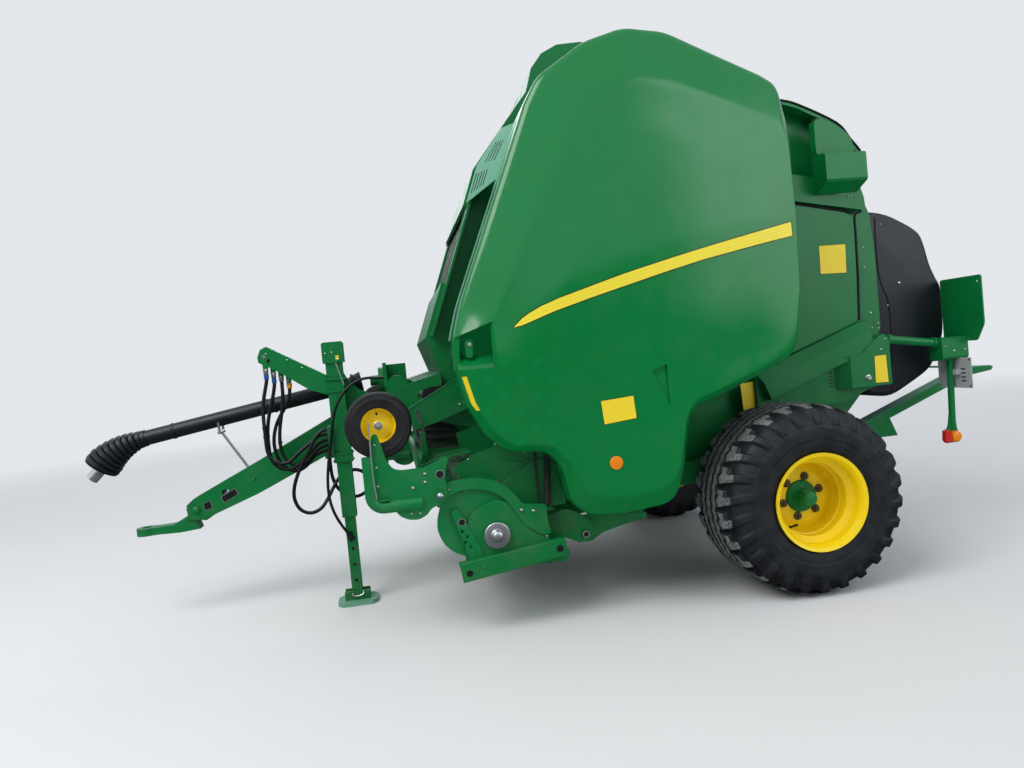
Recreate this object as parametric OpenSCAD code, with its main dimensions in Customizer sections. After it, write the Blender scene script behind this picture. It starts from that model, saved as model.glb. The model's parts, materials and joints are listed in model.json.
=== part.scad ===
// Round baler with a lifting tailgate, parked on its jack.
// Forward is -X, the machine's left side is -Y, the ground is Z = 0. Millimetres.

/* [Chamber] */
// Inside width between the two chamber walls
chamber_width = 1210; // [1100:10:1300]
// Thickness of the chamber walls
wall_t = 12; // [8:1:20]
// Number of baling belts side by side
belt_count = 5; // [3:1:8]
// Width of one belt
belt_w = 200; // [120:5:230]
// Thickness of a belt
belt_t = 8; // [5:1:12]

/* [Wheels] */
// Outside diameter of a main tyre
tyre_d = 932; // [850:2:1000]
// Width of a main tyre
tyre_w = 500; // [400:5:560]
// Distance between the middles of the two main tyres
track = 1980; // [1900:10:2100]
// Diameter of the rim's bead seat
rim_d = 440; // [400:2:480]
// Size of the square axle beam
axle_s = 120; // [90:5:140]
// Number of wheel bolts
wheel_bolts = 6; // [5:1:10]
// Depth of the tread
tread_h = 24; // [16:1:34]
// Number of shoulder lugs on each side of a main tyre
lug_count = 26; // [20:1:32]
// Diameter of the wheel hubs
hub_d = 156; // [130:2:170]

/* [Shields] */
// Distance of the shields' outer faces from the middle
shield_y = 1190; // [1150:5:1240]
// Depth of a shield's turned-in rim
shield_depth = 230; // [150:5:280]
// Thickness of the shields' skin
shield_t = 14; // [8:1:20]
// How far the flat faces stand out from the rims
shield_bevel = 60; // [30:5:90]

/* [Tailgate] */
// Distance of the tailgate's side panels from the middle
gate_y = 720; // [690:5:760]
// Gap between the tailgate and the chamber
gate_gap = 15; // [8:1:25]
// Thickness of the tailgate's skins
skin_t = 10; // [6:1:16]

/* [Pickup] */
// Distance between the outer faces of the pickup's side plates
pickup_width = 2020; // [1900:10:2100]
// Number of stripper bands
band_count = 27; // [20:1:34]
// Width of a stripper band
band_w = 46; // [36:1:56]
// Radius that the bands follow round the reel
band_r = 185; // [170:1:200]
// Radius of the tine tips
tine_r = 250; // [220:1:270]
// Diameter of a tine's wire
tine_d = 7; // [5:0.5:9]
// Number of tine bars on the reel
tine_bars = 4; // [3:1:5]
// Diameter of the lift springs
spring_d = 32; // [24:1:38]

/* [Hitch] */
// Bore of the drawbar eye
eye_bore = 51; // [40:1:60]
// Outside diameter of the drawbar eye
eye_d = 110; // [90:2:130]
// Thickness of the eye's ring
eye_t = 42; // [34:1:50]

/* [Jack] */
// Outside size of the jack's square outer tube
jack_s = 80; // [70:1:100]
// Wall of the jack's outer tube
jack_wall = 6; // [4:0.5:10]
// Gap all round the jack's inner leg
jack_gap = 5; // [5:0.5:8]

/* [Drive shaft] */
// Diameter of the drive shaft's guard tube
guard_d = 84; // [70:1:100]
// Diameter of the bellows at its wide end
bellows_d = 190; // [160:2:220]

/* [Hoses] */
// Diameter of the hydraulic hoses
hose_d = 20; // [16:1:22]
// Diameter of the lamp cable
cable_d = 16; // [10:1:18]

/* [Ramp] */
// Distance between the two rails of the bale ramp
ramp_gap = 880; // [600:10:900]
// Width of a rail
ramp_w = 90; // [70:2:120]

/* [Hidden] */
$fn = 48;

front_x = -3666;
rear_x = 1612;
axle_x = -(front_x + rear_x) / 2;
e = 0.01;
cw = chamber_width / 2;
co = cw + wall_t;
wheel_z = tyre_d / 2;
split_x = -40;
gate_x = split_x + gate_gap;

green = [0.02, 0.42, 0.16];
yellow = [0.96, 0.84, 0.1];
black = [0.06, 0.06, 0.07];
steel = [0.6, 0.6, 0.62];

// Everything below is placed from the axle's line; this shifts it so the box's middle is X = 0.
module at_axle() {
  translate([axle_x, 0, 0]) children();
}

// Both sides of the machine from a left-hand part drawn at -Y.
module both() {
  children();
  mirror([0, 1, 0]) children();
}

// A plate with an outline in X and Z, from y0 to y1.
module plate(pts, y0, y1) {
  translate([0, y1, 0]) rotate([90, 0, 0]) linear_extrude(y1 - y0) polygon(pts);
}

// A round bar along Y.
module bar_y(x, z, d, y0, y1) {
  translate([x, y1, z]) rotate([90, 0, 0]) cylinder(d = d, h = y1 - y0);
}

// A block between two corners.
module block(a, b) {
  translate(a) cube([b[0] - a[0], b[1] - a[1], b[2] - a[2]]);
}

// A bar of section w (along Y) by t between two points in the XZ plane, centred on y.
module beam_xz(p, q, y, w, t) {
  l = norm([q[0] - p[0], q[1] - p[1]]);
  a = atan2(q[1] - p[1], q[0] - p[0]);
  translate([p[0], y, p[1]]) rotate([0, -a, 0]) translate([0, -w / 2, -t / 2]) cube([l, w, t]);
}

// A round rod between two points.
module rod(p, q, d) {
  v = q - p;
  l = norm(v);
  b = acos(v[2] / l);
  c = atan2(v[1], v[0]);
  translate(p) rotate([0, b, c]) cylinder(d = d, h = l);
}

hinge_y = 780;
hinge_z = 2580;
strap_xs = [-1050, -620, -180];
ramp_x = 345;
ramp_z = 600;

// Chamber walls, their outline in X and Z seen from the side.
roof_pts = [[-1270, 2450], [-1100, 2660], [-1060, 2780], [-1000, 2850], [-920, 2890], [-800, 2900], [-400, 2840],
  [split_x, 2660]];
wall_pts = concat([[-1640, 1130], [-1740, 1430], [-1410, 2270]], roof_pts, [[split_x, 560], [-1060, 560],
  [-1280, 760], [-1300, 1010]]);
rotor_x = -1180;
rotor_z = 700;
rotor_d = 110;
beam_z0 = wheel_z + axle_s / 2;
beam_z1 = beam_z0 + 120;
pivot_x = -1083;
pivot_z = 390;
lug_y = 892;
gate_px = split_x;
gate_pz = 2640;
pin_d = 40;

module chamber_frame() {
  color(green) at_axle() {
    both() difference() {
      plate(wall_pts, -co, -cw);
      bar_y(rotor_x, rotor_z, rotor_d + 12, -co - 1, -cw + 1);
    }
    // long beams over the axle
    both() block([-1200, -co - 80, beam_z0], [70, -co, beam_z1]);
    // cross members
    block([-1760, -co, 1010], [-1650, co, 1124]);
    both() plate([[-1760, 1010], [-1760, 1150], [-1640, 1180], [-1300, 1010], [-1300, 900], [-1500, 930]],
      -co - 20, -co);
    // stiffening flanges down the walls' front edges
    both() beam_xz([-1725, 1438], [-1402, 2262], -co - 40, 90, 12);
    // shield hinge rail along the top
    both() block([-1100, -760, 2480], [-100, -co, 2520]);
    both() for (x = strap_xs) block([x - 12, -805, 2500], [x + 12, -740, 2602]);
    both() rod([-1090, -hinge_y, hinge_z], [-140, -hinge_y, hinge_z], 30);
    // tailgate hinge lugs
    both() difference() {
      plate([[-160, 2560], [-160, 2640], [gate_px - 30, gate_pz + 40], [gate_px + 30, gate_pz + 40],
        [gate_px + 40, gate_pz - 30], [gate_px + e, gate_pz - 60]], -co - 40, -co);
      block([split_x, -co - 41, 2400], [split_x + 60, -co + 1, gate_pz - 35]);
    }
    both() bar_y(gate_px, gate_pz, pin_d, -co - 70, -co - 10);
    // latch posts beside the shields' front corners
    both() block([-1640, -co - 120, 1300], [-1600, -co, 1360]);
    // lugs that carry the ramp's tube
    both() plate([[60, beam_z0], [60, beam_z1], [300, 650], [385, 645], [395, 570], [360, 545], [150, beam_z0]],
      -co - 20, -co);
    both() bar_y(ramp_x, ramp_z, 30, -co - 20, -co + 60);
  }
}

// Members that carry the pickup's pivots, on tubes that are bolted up under the long beams.
module pickup_carriers() {
  color(green) at_axle() both() {
    plate([[-1140, 480], [-1038, 480], [-755, 452], [-757, 425], [-879, 406], [-988, 380], [-1050, 346],
      [-1120, 346], [-1150, 390]], -lug_y, -lug_y + 12);
    difference() {
      union() {
        bar_y(-1000, 490, 90, -lug_y + 6, -co);
        bar_y(-800, 490, 90, -lug_y + 6, -co);
      }
      block([-1200, -co - 80, beam_z0], [70, -co + 1, beam_z1]);
    }
    bar_y(pivot_x, pivot_z, pin_d, -lug_y - 34, -lug_y + 6);
  }
}

spindle_d = 90;

module axle_beam() {
  color(green) at_axle() {
    block([-axle_s / 2, -track / 2 + 130, wheel_z - axle_s / 2], [axle_s / 2, track / 2 - 130, beam_z0]);
    both() bar_y(0, wheel_z, spindle_d, -track / 2 - 60, -track / 2 + 131);
    both() bar_y(0, wheel_z, 150, -track / 2 + 60, -track / 2 + 131);
    both() block([-axle_s / 2 - 40, -co - 80, wheel_z - 30], [axle_s / 2 + 40, -co, beam_z0]);
    both() plate([[-160, 430], [160, 430], [120, 400], [-120, 400]], -co - 60, -co - 20);
  }
}

module roof_panel() {
  color(green) at_axle() difference() {
    plate(concat(roof_pts, [[split_x, 2660 + skin_t], [-398, 2840 + skin_t], [-798, 2900 + skin_t],
      [-923, 2900], [-1008, 2858], [-1070, 2783], [-1110, 2662], [-1279, 2458]]), -co, co);
  }
}

module front_panel() {
  color(green) at_axle() translate([-0.3, 0, 0]) difference() {
    union() {
      plate([[-1270, 2450], [-1410, 2270], [-1425, 2278], [-1279, 2458]], -co, co);
      plate([[-1410, 2270], [-1480, 2092], [-1494, 2098], [-1425, 2278]], -co, co);
      plate([[-1632, 1705], [-1740, 1430], [-1754, 1436], [-1646, 1711]], -co, co);
      plate([[-1740, 1430], [-1640, 1130], [-1654, 1130], [-1754, 1436]], -co, co);
    }
    for (y = [-480 : 160 : 480]) for (k = [0, 1, 2]) {
      translate([-1345 - 10, y + 30 * k, 2366]) rotate([0, 52, 0]) translate([-70, 0, -40]) cube([140, 12, 80]);
    }
    for (y = [-500, -440, 440, 500]) block([-1760, y, 1200], [-1640, y + 14, 1380]);
  }
}

// Drawbar: rear bracket, two arms, and the beam rising rearward.
beam_front = [-3095, 612];
beam_rear = [-2030, 1062];

module drawbar() {
  color(green) at_axle() difference() {
    union() {
    difference() {
      union() {
        plate([[-3120, 560], [-3060, 553], [-2746, 665], [-2218, 895], [-1960, 985], [-1960, 1130],
          [-2150, 1130], [-2728, 850], [-3110, 672], [-3150, 620]], -70, -52);
        plate([[-3120, 560], [-3060, 553], [-2746, 665], [-2218, 895], [-1960, 985], [-1960, 1130],
          [-2150, 1130], [-2728, 850], [-3110, 672], [-3150, 620]], 52, 70);
        // top and bottom plates
        plate([[-2900, 770], [-2728, 850], [-2150, 1130], [-1960, 1130], [-1960, 1118], [-2148, 1118],
          [-2724, 838], [-2900, 756]], -60, 60);
        plate([[-2900, 612], [-2746, 665], [-2218, 895], [-1960, 985], [-1960, 998], [-2222, 908],
          [-2748, 678], [-2900, 624]], -60, 60);
      }
      bar_y(beam_front[0], beam_front[1], 40, -71, 71);
      bar_y(-2930, 690, 40, -71, 71);
    }
    // two arms that spread to the chamber's front beam
    both() {
      a = atan2(500, 250);
      translate([-1990, -20, 990]) rotate([0, 0, -a]) translate([0, -50, 0]) cube([540, 100, 130]);
    }
    block([-2020, -120, 985], [-1900, 120, 1130]);
    block([-1800, -co, 1000], [-1760, co, 1140]);
    // rest that the drive shaft lies on when it is unhitched
    rod([-2800, 0, 800], [-2930, 0, 1030], 12);
    bar_y(-2930, 1030, 18, -60, 60);
    both() rod([-2930, -52, 1032], [-2932, -54, 1085], 12);
    }
    block([-1760, -700, 900], [-1400, 700, 1300]);
  }
}

module hitch_eye() {
  color(green) at_axle() difference() {
    union() {
      plate([[-3150, 560], [-3050, 545], [-2880, 640], [-2890, 730], [-2960, 728], [-3110, 672], [-3150, 640]],
        -52, 52);
      plate([[-3110, 560], [-3090, 500], [-3200, 492], [-3340, 496], [-3340, 536], [-3230, 540], [-3150, 580]],
        -42, 42);
      translate([-3385, 0, 516 - eye_t / 2]) cylinder(d = eye_d, h = eye_t);
      block([-3385, -42, 516 - eye_t / 2], [-3330, 42, 516 + eye_t / 2]);
    }
    translate([-3385, 0, 400]) cylinder(d = eye_bore, h = 200);
    bar_y(beam_front[0], beam_front[1], 40, -71, 71);
    bar_y(-2930, 690, 40, -71, 71);
  }
}

jack_x = -2255;
jack_y = -170;
leg_s = jack_s - 2 * jack_wall - 2 * jack_gap;

module jack_mast() {
  s = jack_s / 2;
  color(green) at_axle() {
    difference() {
      translate([jack_x, jack_y, 0]) union() {
        block([-s, -s, 490], [s, s, 870]);
        block([-s - 5, -s - 5, 850], [s + 5, s + 5, 1365]);
        block([-s - 10, -s - 10, 800], [s + 10, s + 10, 858]);
        block([-s - 18, -s - 18, 1358], [s + 18, s + 18, 1468]);
        block([-s - 12, -s - 12, 1467], [s + 12, s + 12, 1474]);
      }
      translate([jack_x, jack_y, 0]) block([-s + jack_wall, -s + jack_wall, 470],
        [s - jack_wall, s - jack_wall, 1200]);
    }
    // gusset behind the tube and the blocks that bolt it to the drawbar
    plate(soften([[-2225, 1330], [-2192, 1258], [-2136, 1197], [-2060, 1160], [-2030, 1100], [-2060, 985],
      [-2150, 900], [-2225, 890]], 16), jack_y + s, jack_y + s + 12);
    plate([[-2215, 930], [-2140, 930], [-2050, 1000], [-2050, 1100], [-2215, 1080]], jack_y + s + 12, -70);
    // holder where the hoses' ends go in
    block([-2325, jack_y - 70, 850], [-2299, jack_y + s + 5, 1010]);
    // socket of the loose hose on the drawbar's side
    block([-2362, -112, 820], [-2316, -70, 862]);
  }
}

// Slope of the plate that holds the hoses' couplings: X and Z of its two ends.
holder = [[-2640, 1398], [-2420, 1262]];
// Each hose hangs in its own plane from its coupling: X, Y and lower Z of the coupling.
hangers = [[-2622, -205, 1352], [-2586, -182, 1330], [-2550, -159, 1307], [-2514, -136, 1285]];
coupling_l = 70;
arm_pts = [[-2300, 1293], [-2300, 1183], [-2400, 1222], [-2560, 1340], [-2655, 1396], [-2657, 1425],
  [-2640, 1465], [-2607, 1480]];

module hose_arm() {
  color(green) at_axle() {
    for (y = [jack_y - 48, jack_y + 38]) difference() {
      plate(arm_pts, y, y + 10);
      bar_y(-2600, 1400, 22, y - 1, y + 11);
    }
    plate([[-2300, 1293], [-2300, 1283], [-2600, 1468], [-2634, 1454], [-2647, 1424], [-2657, 1425],
      [-2640, 1465], [-2607, 1480]], jack_y - 39, jack_y + 39);
    beam_xz(holder[0], holder[1], jack_y, 78, 8);
    for (h = hangers) translate(h) cylinder(d = hose_d + 8, h = coupling_l);
    // straps round the jack's tube
    difference() {
      for (z = [1196, 1262]) block([jack_x - jack_s / 2 - 15, jack_y - jack_s / 2 - 15, z],
        [jack_x + jack_s / 2 + 15, jack_y, z + 14]);
      block([jack_x - jack_s / 2 - 5, jack_y - jack_s / 2 - 5, 1100], [jack_x + jack_s / 2 + 5, jack_y + 1, 1400]);
    }
  }
}

// Routes of the hoses and the cable, from where they hang to where they end: X and Z.
route_1 = [[-2622, 1352], [-2622, 1300], [-2636, 1244], [-2650, 1188], [-2658, 1130], [-2661, 1072], [-2661, 1014],
  [-2661, 956], [-2658, 905], [-2640, 860], [-2594, 831], [-2541, 841], [-2490, 882], [-2440, 918], [-2394, 951],
  [-2370, 962], [-2345, 966], [-2325, 966]];
route_2 = [[-2586, 1330], [-2586, 1275], [-2598, 1218], [-2614, 1162], [-2632, 1106], [-2644, 1050], [-2651, 992],
  [-2652, 934], [-2649, 880], [-2632, 832], [-2590, 798], [-2537, 796], [-2488, 824], [-2444, 862], [-2402, 902],
  [-2374, 922], [-2347, 931], [-2325, 931]];
route_3 = [[-2550, 1307], [-2550, 1255], [-2552, 1200], [-2560, 1144], [-2572, 1088], [-2584, 1032], [-2592, 975],
  [-2592, 918], [-2578, 862], [-2542, 818], [-2490, 806], [-2443, 832], [-2408, 868], [-2382, 888], [-2352, 900],
  [-2325, 900]];
route_4 = [[-2514, 1285], [-2514, 1235], [-2524, 1182], [-2550, 1134], [-2582, 1088], [-2608, 1038], [-2624, 984],
  [-2629, 928], [-2620, 872], [-2600, 822], [-2560, 784], [-2506, 776], [-2460, 802], [-2424, 840], [-2394, 858],
  [-2360, 868], [-2325, 868]];
// The long loop goes behind the jack and back: X, Y and Z.
route_loop = [[-2325, -228, 992], [-2350, -228, 992], [-2386, -228, 964], [-2418, -228, 918], [-2450, -228, 866],
  [-2484, -228, 810], [-2514, -228, 750], [-2535, -228, 688], [-2538, -226, 624], [-2512, -220, 566],
  [-2460, -210, 540], [-2406, -194, 556], [-2366, -168, 602], [-2336, -138, 650], [-2304, -112, 696],
  [-2258, -102, 730], [-2202, -98, 738], [-2152, -98, 712], [-2132, -98, 656], [-2158, -98, 604],
  [-2212, -98, 584], [-2268, -96, 602], [-2312, -94, 646], [-2334, -92, 704], [-2339, -92, 762], [-2339, -92, 820]];
// The lamp cable hangs past the jack's outer side: X and Z.
cable_y = -252;
route_cable = [[-1990, 1250], [-2030, 1250], [-2075, 1256], [-2120, 1250], [-2162, 1232], [-2200, 1204],
  [-2232, 1168], [-2258, 1126], [-2277, 1080], [-2290, 1032], [-2301, 982], [-2311, 932], [-2321, 882],
  [-2331, 832], [-2340, 782], [-2347, 732], [-2351, 682], [-2351, 632], [-2345, 583], [-2333, 535], [-2315, 489],
  [-2292, 446], [-2272, 412]];

function flat_route(r, y) = [for (p = r) [p[0], y, p[1]]];
function across(t) = cross(t, [0, 1, 0]) / norm(cross(t, [0, 1, 0]));
function tube_ring(p, t, r, n) = let (u = across(t), v = cross(t, u))
  [for (k = [0 : n - 1]) p + r * (cos(k * 360 / n) * u + sin(k * 360 / n) * v)];

// A tube of n sides with one ring at each point of its route.
module tube(path, d, n = 10) {
  m = len(path);
  loft([for (i = [0 : m - 1]) let (a = path[max(i - 1, 0)], b = path[min(i + 1, m - 1)])
    tube_ring(path[i], (b - a) / norm(b - a), d / 2, n)]);
}

module hose_1() {
  color(black) at_axle() tube(flat_route(route_1, hangers[0][1]), hose_d);
}

module hose_2() {
  color(black) at_axle() tube(flat_route(route_2, hangers[1][1]), hose_d);
}

module hose_3() {
  color(black) at_axle() tube(flat_route(route_3, hangers[2][1]), hose_d);
}

module hose_4() {
  color(black) at_axle() tube(flat_route(route_4, hangers[3][1]), hose_d);
}

module hose_loop() {
  color(black) at_axle() tube(route_loop, hose_d);
}

module lamp_cable() {
  color(black) at_axle() tube(flat_route(route_cable, cable_y), cable_d);
}

// Plug on the cable's end, in line with its last stretch.
module lamp_plug() {
  m = len(route_cable);
  p = route_cable[m - 1];
  q = route_cable[m - 2];
  color(black) at_axle() translate([p[0], cable_y, p[1]]) rotate([0, 90 + atan2(q[1] - p[1], p[0] - q[0]), 0]) {
    cylinder(d = cable_d + 10, h = 22);
    translate([0, 0, 21]) cylinder(d = 36, h = 30);
  }
}

module gearbox() {
  color(green) at_axle() {
    block([-1990, -130, 1130], [-1860, 130, 1320]);
    translate([-1990 - 30, 0, 1235]) rotate([0, 90, 0]) cylinder(d = 150, h = 31);
    translate([-1990 - 80, 0, 1235]) rotate([0, 90, 0]) cylinder(d = 60, h = 60);
    bar_y(-1920, 1200, 110, -420, 420);
    // bulkhead where the hoses enter
    block([-1990, -330, 1200], [-1970, -110, 1330]);
  }
}

// Step over the gearbox, its ribbed deck sloping down to the front, and its cheeks.
deck = [[-1838, 1218], [-1700, 1251]];

module platform() {
  color(green) at_axle() {
    difference() {
      plate([deck[0], deck[1], [deck[1][0], deck[1][1] - 10], [deck[0][0], deck[0][1] - 10]], -650, 650);
      for (k = [0 : 4]) translate([-1820 + 24 * k, -600, 1150]) cube([8, 1200, 200]);
    }
    both() difference() {
      plate(soften([[-1940, 1165], [-1930, 1180], deck[0] - [2, 0], deck[1], [-1700, 1180], [-1850, 1105],
        [-1900, 1105]], 10), -660, -650);
      plate(soften([[-1830, 1130], [-1816, 1168], [-1740, 1186], [-1730, 1178], [-1760, 1152]], 10), -661, -649);
    }
    both() block([-1720, -650, 1125], [-1700, -co - 20, 1245]);
  }
}

spring_y = 934;

module side_guards() {
  color(green) at_axle() both() {
    plate(soften([[-1704, 788], [-1603, 842], [-1500, 866], [-1483, 906], [-1438, 869], [-1327, 850], [-1240, 850],
      [-1230, 780], [-1330, 770], [-1400, 750], [-1560, 750], [-1680, 748]], 14), -905, -895);
    plate([[-1476, 700], [-1327, 790], [-1320, 850], [-1225, 850], [-1165, 723], [-1166, 584], [-1250, 584],
      [-1262, 650], [-1330, 694]], -915, -905);
    bar_y(-1255, 810, 50, -896, -co);
    // top hooks of the spring and chain
    block([-1320, -spring_y - 12, 832], [-1222, -915, 840]);
    // side rails of the front and their folded top edges
    plate([[-1885, 1082], [-1640, 1207], [-1590, 1210], [-1594, 1052], [-1737, 1004], [-1860, 974]], -700, -692);
    plate([[-1885, 1082], [-1640, 1207], [-1590, 1210], [-1590, 1202], [-1638, 1199], [-1881, 1075]], -692, -668);
    block([-1650, -692, 1060], [-1600, -co - 20, 1160]);
  }
}

// Coil spring and chain that carry the pickup on each side.
module lift_springs() {
  n = 20;
  h = 232;
  color(steel) at_axle() both() {
    translate([-1262, -spring_y, 562]) rotate([0, 5, 0]) {
      rotate_extrude() polygon(concat([[0, 0]], [for (i = [0 : 2 * n]) [spring_d / 2 - (i % 2 == 0 ? 3 : 0),
        i * h / 2 / n]], [[0, h]]));
    }
    translate([-1262, -spring_y, 556]) cylinder(d = 12, h = 10);
    translate([-1242, -spring_y, 790]) cylinder(d = 10, h = 42);
    for (i = [0 : 8]) translate([-1303, -spring_y, 558 + 30 * i]) rotate([0, 0, i % 2 * 90])
      chain_link();
  }
}

module chain_link() {
  rotate([90, 0, 0]) translate([0, 0, -3]) linear_extrude(6) difference() {
    union() {
      translate([0, 8]) circle(d = 20);
      translate([0, 24]) circle(d = 20);
      translate([-10, 8]) square([20, 16]);
    }
    translate([-4, 8]) square([8, 16]);
  }
}

// Rollers at the front of the chamber: X, Z and diameter.
front_rolls = [[-1380, 2080, 150], [-1580, 1560, 150], [-1330, 1180, 180], [-1150, 1010, 150]];

module front_rollers() {
  color(steel) at_axle() for (r = front_rolls) bar_y(r[0], r[1], r[2], -cw, cw);
}

module belts(p, q, gap) {
  for (i = [0 : belt_count - 1]) {
    y = (i - (belt_count - 1) / 2) * gap;
    beam_xz(p, q, y, belt_w, belt_t);
  }
}

belt_gap = (chamber_width - 30) / belt_count;

// Belts that touch two equal rollers on the side that a quarter turn left of p to q points to.
module tangent_belts(p, q, side) {
  l = norm([q[0] - p[0], q[1] - p[1]]);
  n = [-(q[1] - p[1]) / l * side, (q[0] - p[0]) / l * side];
  o = p[2] / 2 + belt_t / 2;
  belts([p[0] + n[0] * o, p[1] + n[1] * o], [q[0] + n[0] * o, q[1] + n[1] * o], belt_gap);
}

module front_belts() {
  color(black) at_axle() {
    tangent_belts(front_rolls[1], front_rolls[0], 1);
  }
}

module feed_rotor() {
  color(green) at_axle() {
    bar_y(rotor_x, rotor_z, rotor_d, -co, co);
    for (i = [-7 : 7]) translate([rotor_x, i * 76 + 4, rotor_z]) rotate([90, 0, 0]) linear_extrude(8)
      for (k = [0, 1, 2]) rotate(k * 120 + i * 24) polygon([[0, -45], [130, -25], [165, 10], [120, 15], [0, 45]]);
  }
}

module jack_leg() {
  color(green) at_axle() translate([jack_x, jack_y, 0]) {
    difference() {
      block([-leg_s / 2, -leg_s / 2, 19], [leg_s / 2, leg_s / 2, 850]);
      for (z = [130 : 90 : 460]) translate([0, leg_s / 2 + 1, z]) rotate([90, 0, 0])
        cylinder(d = 18, h = leg_s + 2);
    }
    translate([0, 0, 0]) linear_extrude(20) polygon([[-110, -50], [-80, -90], [80, -90], [110, -50],
      [110, 50], [80, 90], [-80, 90], [-110, 50]]);
    both() block([-70, -leg_s / 2 - 10, 19], [70, -leg_s / 2, 70]);
  }
}

// Drive shaft: its pivot is at the gearbox, the guard slopes down to the front.
pto_p = [-2100, 1235];
pto_a = 9;
guard_l = 1250;
rings = 9;
ring_l = 30;
ring_bend = 4.4;

module pto_place() {
  translate([pto_p[0], 0, pto_p[1]]) rotate([0, -pto_a, 0]) children();
}

// The frame at the end of the n-th ring, looking along -X.
module after_rings(n, i = 0) {
  if (i == n) children();
  else rotate([0, -ring_bend, 0]) translate([-ring_l, 0, 0]) after_rings(n, i + 1) children();
}

function ring_d(i) = guard_d + 14 + (bellows_d - guard_d - 14) * min(1, i / (rings - 2));

module pto_guard() {
  color(black) at_axle() pto_place() {
    translate([-guard_l, 0, 0]) rotate([0, 90, 0]) cylinder(d = guard_d, h = guard_l - 40);
    translate([-100, 0, 0]) rotate([0, 90, 0]) cylinder(d1 = guard_d, d2 = 130, h = 80);
  }
}

module pto_bellows() {
  color(black) at_axle() pto_place() translate([-guard_l, 0, 0]) {
    translate([-30, 0, 0]) rotate([0, 90, 0]) cylinder(d = guard_d + 8, h = 30);
    translate([-20, 0, 0]) for (i = [0 : rings - 1]) after_rings(i)
      translate([-ring_l - 4, 0, 0]) rotate([0, 90, 0]) cylinder(d = ring_d(i), h = ring_l + 2);
  }
}

module pto_yoke() {
  color(steel) at_axle() pto_place() translate([-guard_l - 20, 0, 0]) after_rings(rings - 1)
    translate([-ring_l - 4 - 80, 0, 0]) rotate([0, 90, 0]) difference() {
      cylinder(d = 66, h = 80);
      translate([0, 0, -1]) cylinder(d = 35, h = 61);
    }
}

// Main wheels.
module tyre() {
  r = tyre_d / 2;
  w = tyre_w / 2;
  rotate([90, 0, 0]) difference() {
    rotate_extrude($fn = 96) polygon([[rim_d / 2, -w + 20], [rim_d / 2 + 20, -w + 8], [r - 136, -w], [r - 66, -w + 8],
      [r - 26, -w + 34], [r - 8, -w + 90], [r, -w + 170], [r, w - 170], [r - 8, w - 90], [r - 26, w - 34],
      [r - 66, w - 8], [r - 136, w], [rim_d / 2 + 20, w - 8], [rim_d / 2, w - 20]]);
    // grooves beside the three ribs in the middle
    for (y = [-84, -30, 30, 84]) translate([0, 0, y - 7]) difference() {
      cylinder(r = r + 10, h = 14);
      translate([0, 0, -1]) cylinder(r = r - tread_h, h = 16);
    }
    // spaces between the shoulder lugs
    for (side = [-1, 1]) for (k = [0 : lug_count - 1])
      rotate(k * 360 / lug_count + side * 90 / lug_count) translate([r - tread_h + 6, 0, side * (w - 62)])
        rotate([side * 20, side * 11, 0]) translate([0, -24, -90]) cube([80, 48, 180]);
  }
}

module tyre_left() {
  color(black) at_axle() translate([0, -track / 2, wheel_z]) tyre();
}

module tyre_right() {
  color(black) at_axle() translate([0, track / 2, wheel_z]) tyre();
}

// The rim's barrel, disc and hub, outer side towards -Y.
hub_bore = hub_d + 4;
bolt_r = 101;
module rim() {
  r = rim_d / 2;
  w = tyre_w / 2;
  rotate([90, 0, 0]) {
    rotate_extrude($fn = 96) polygon([[r, -w + 20], [r + 16, -w + 4], [r + 16, -w - 4], [r - 2, -w + 2],
      [r - 12, -w + 22], [r - 12, -w + 70], [r - 40, -w + 92], [r - 40, 20], [r - 88, 40], [hub_bore / 2, 40],
      [hub_bore / 2, 52], [r - 90, 52], [r - 52, 38], [r - 46, 60], [r - 46, 108], [r - 40, 112], [r - 40, w - 92],
      [r - 12, w - 70], [r - 12, w - 22], [r - 2, w - 2], [r + 16, w + 4], [r + 16, w - 4], [r, w - 20],
      [r - 2, w - 76], [r - 30, w - 98], [r - 30, -w + 98], [r - 2, -w + 76]]);
    for (k = [0 : wheel_bolts - 1]) rotate(k * 360 / wheel_bolts + 15) translate([bolt_r, 0, 52]) {
      cylinder(d = 32, h = 16, $fn = 6);
      cylinder(d = 18, h = 26);
    }
  }
}

// The hub: flange behind the disc, boss through it and the bearing cap.
module hub() {
  rotate([90, 0, 0]) difference() {
    union() {
      translate([0, 0, 18]) cylinder(d = 244, h = 22);
      translate([0, 0, -50]) cylinder(d = 150, h = 70);
      translate([0, 0, 39]) cylinder(d = hub_d, h = 71);
      translate([0, 0, 109]) cylinder(d = 68, h = 46);
    }
    translate([0, 0, -51]) cylinder(d = spindle_d + 2, h = 121);
  }
}

module hub_left() {
  color(green) at_axle() translate([0, -track / 2, wheel_z]) hub();
}

module hub_right() {
  color(green) at_axle() translate([0, track / 2, wheel_z]) mirror([0, 1, 0]) hub();
}

module rim_left() {
  color(yellow) at_axle() translate([0, -track / 2, wheel_z]) rim();
}

module rim_right() {
  color(yellow) at_axle() translate([0, track / 2, wheel_z]) mirror([0, 1, 0]) rim();
}

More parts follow.
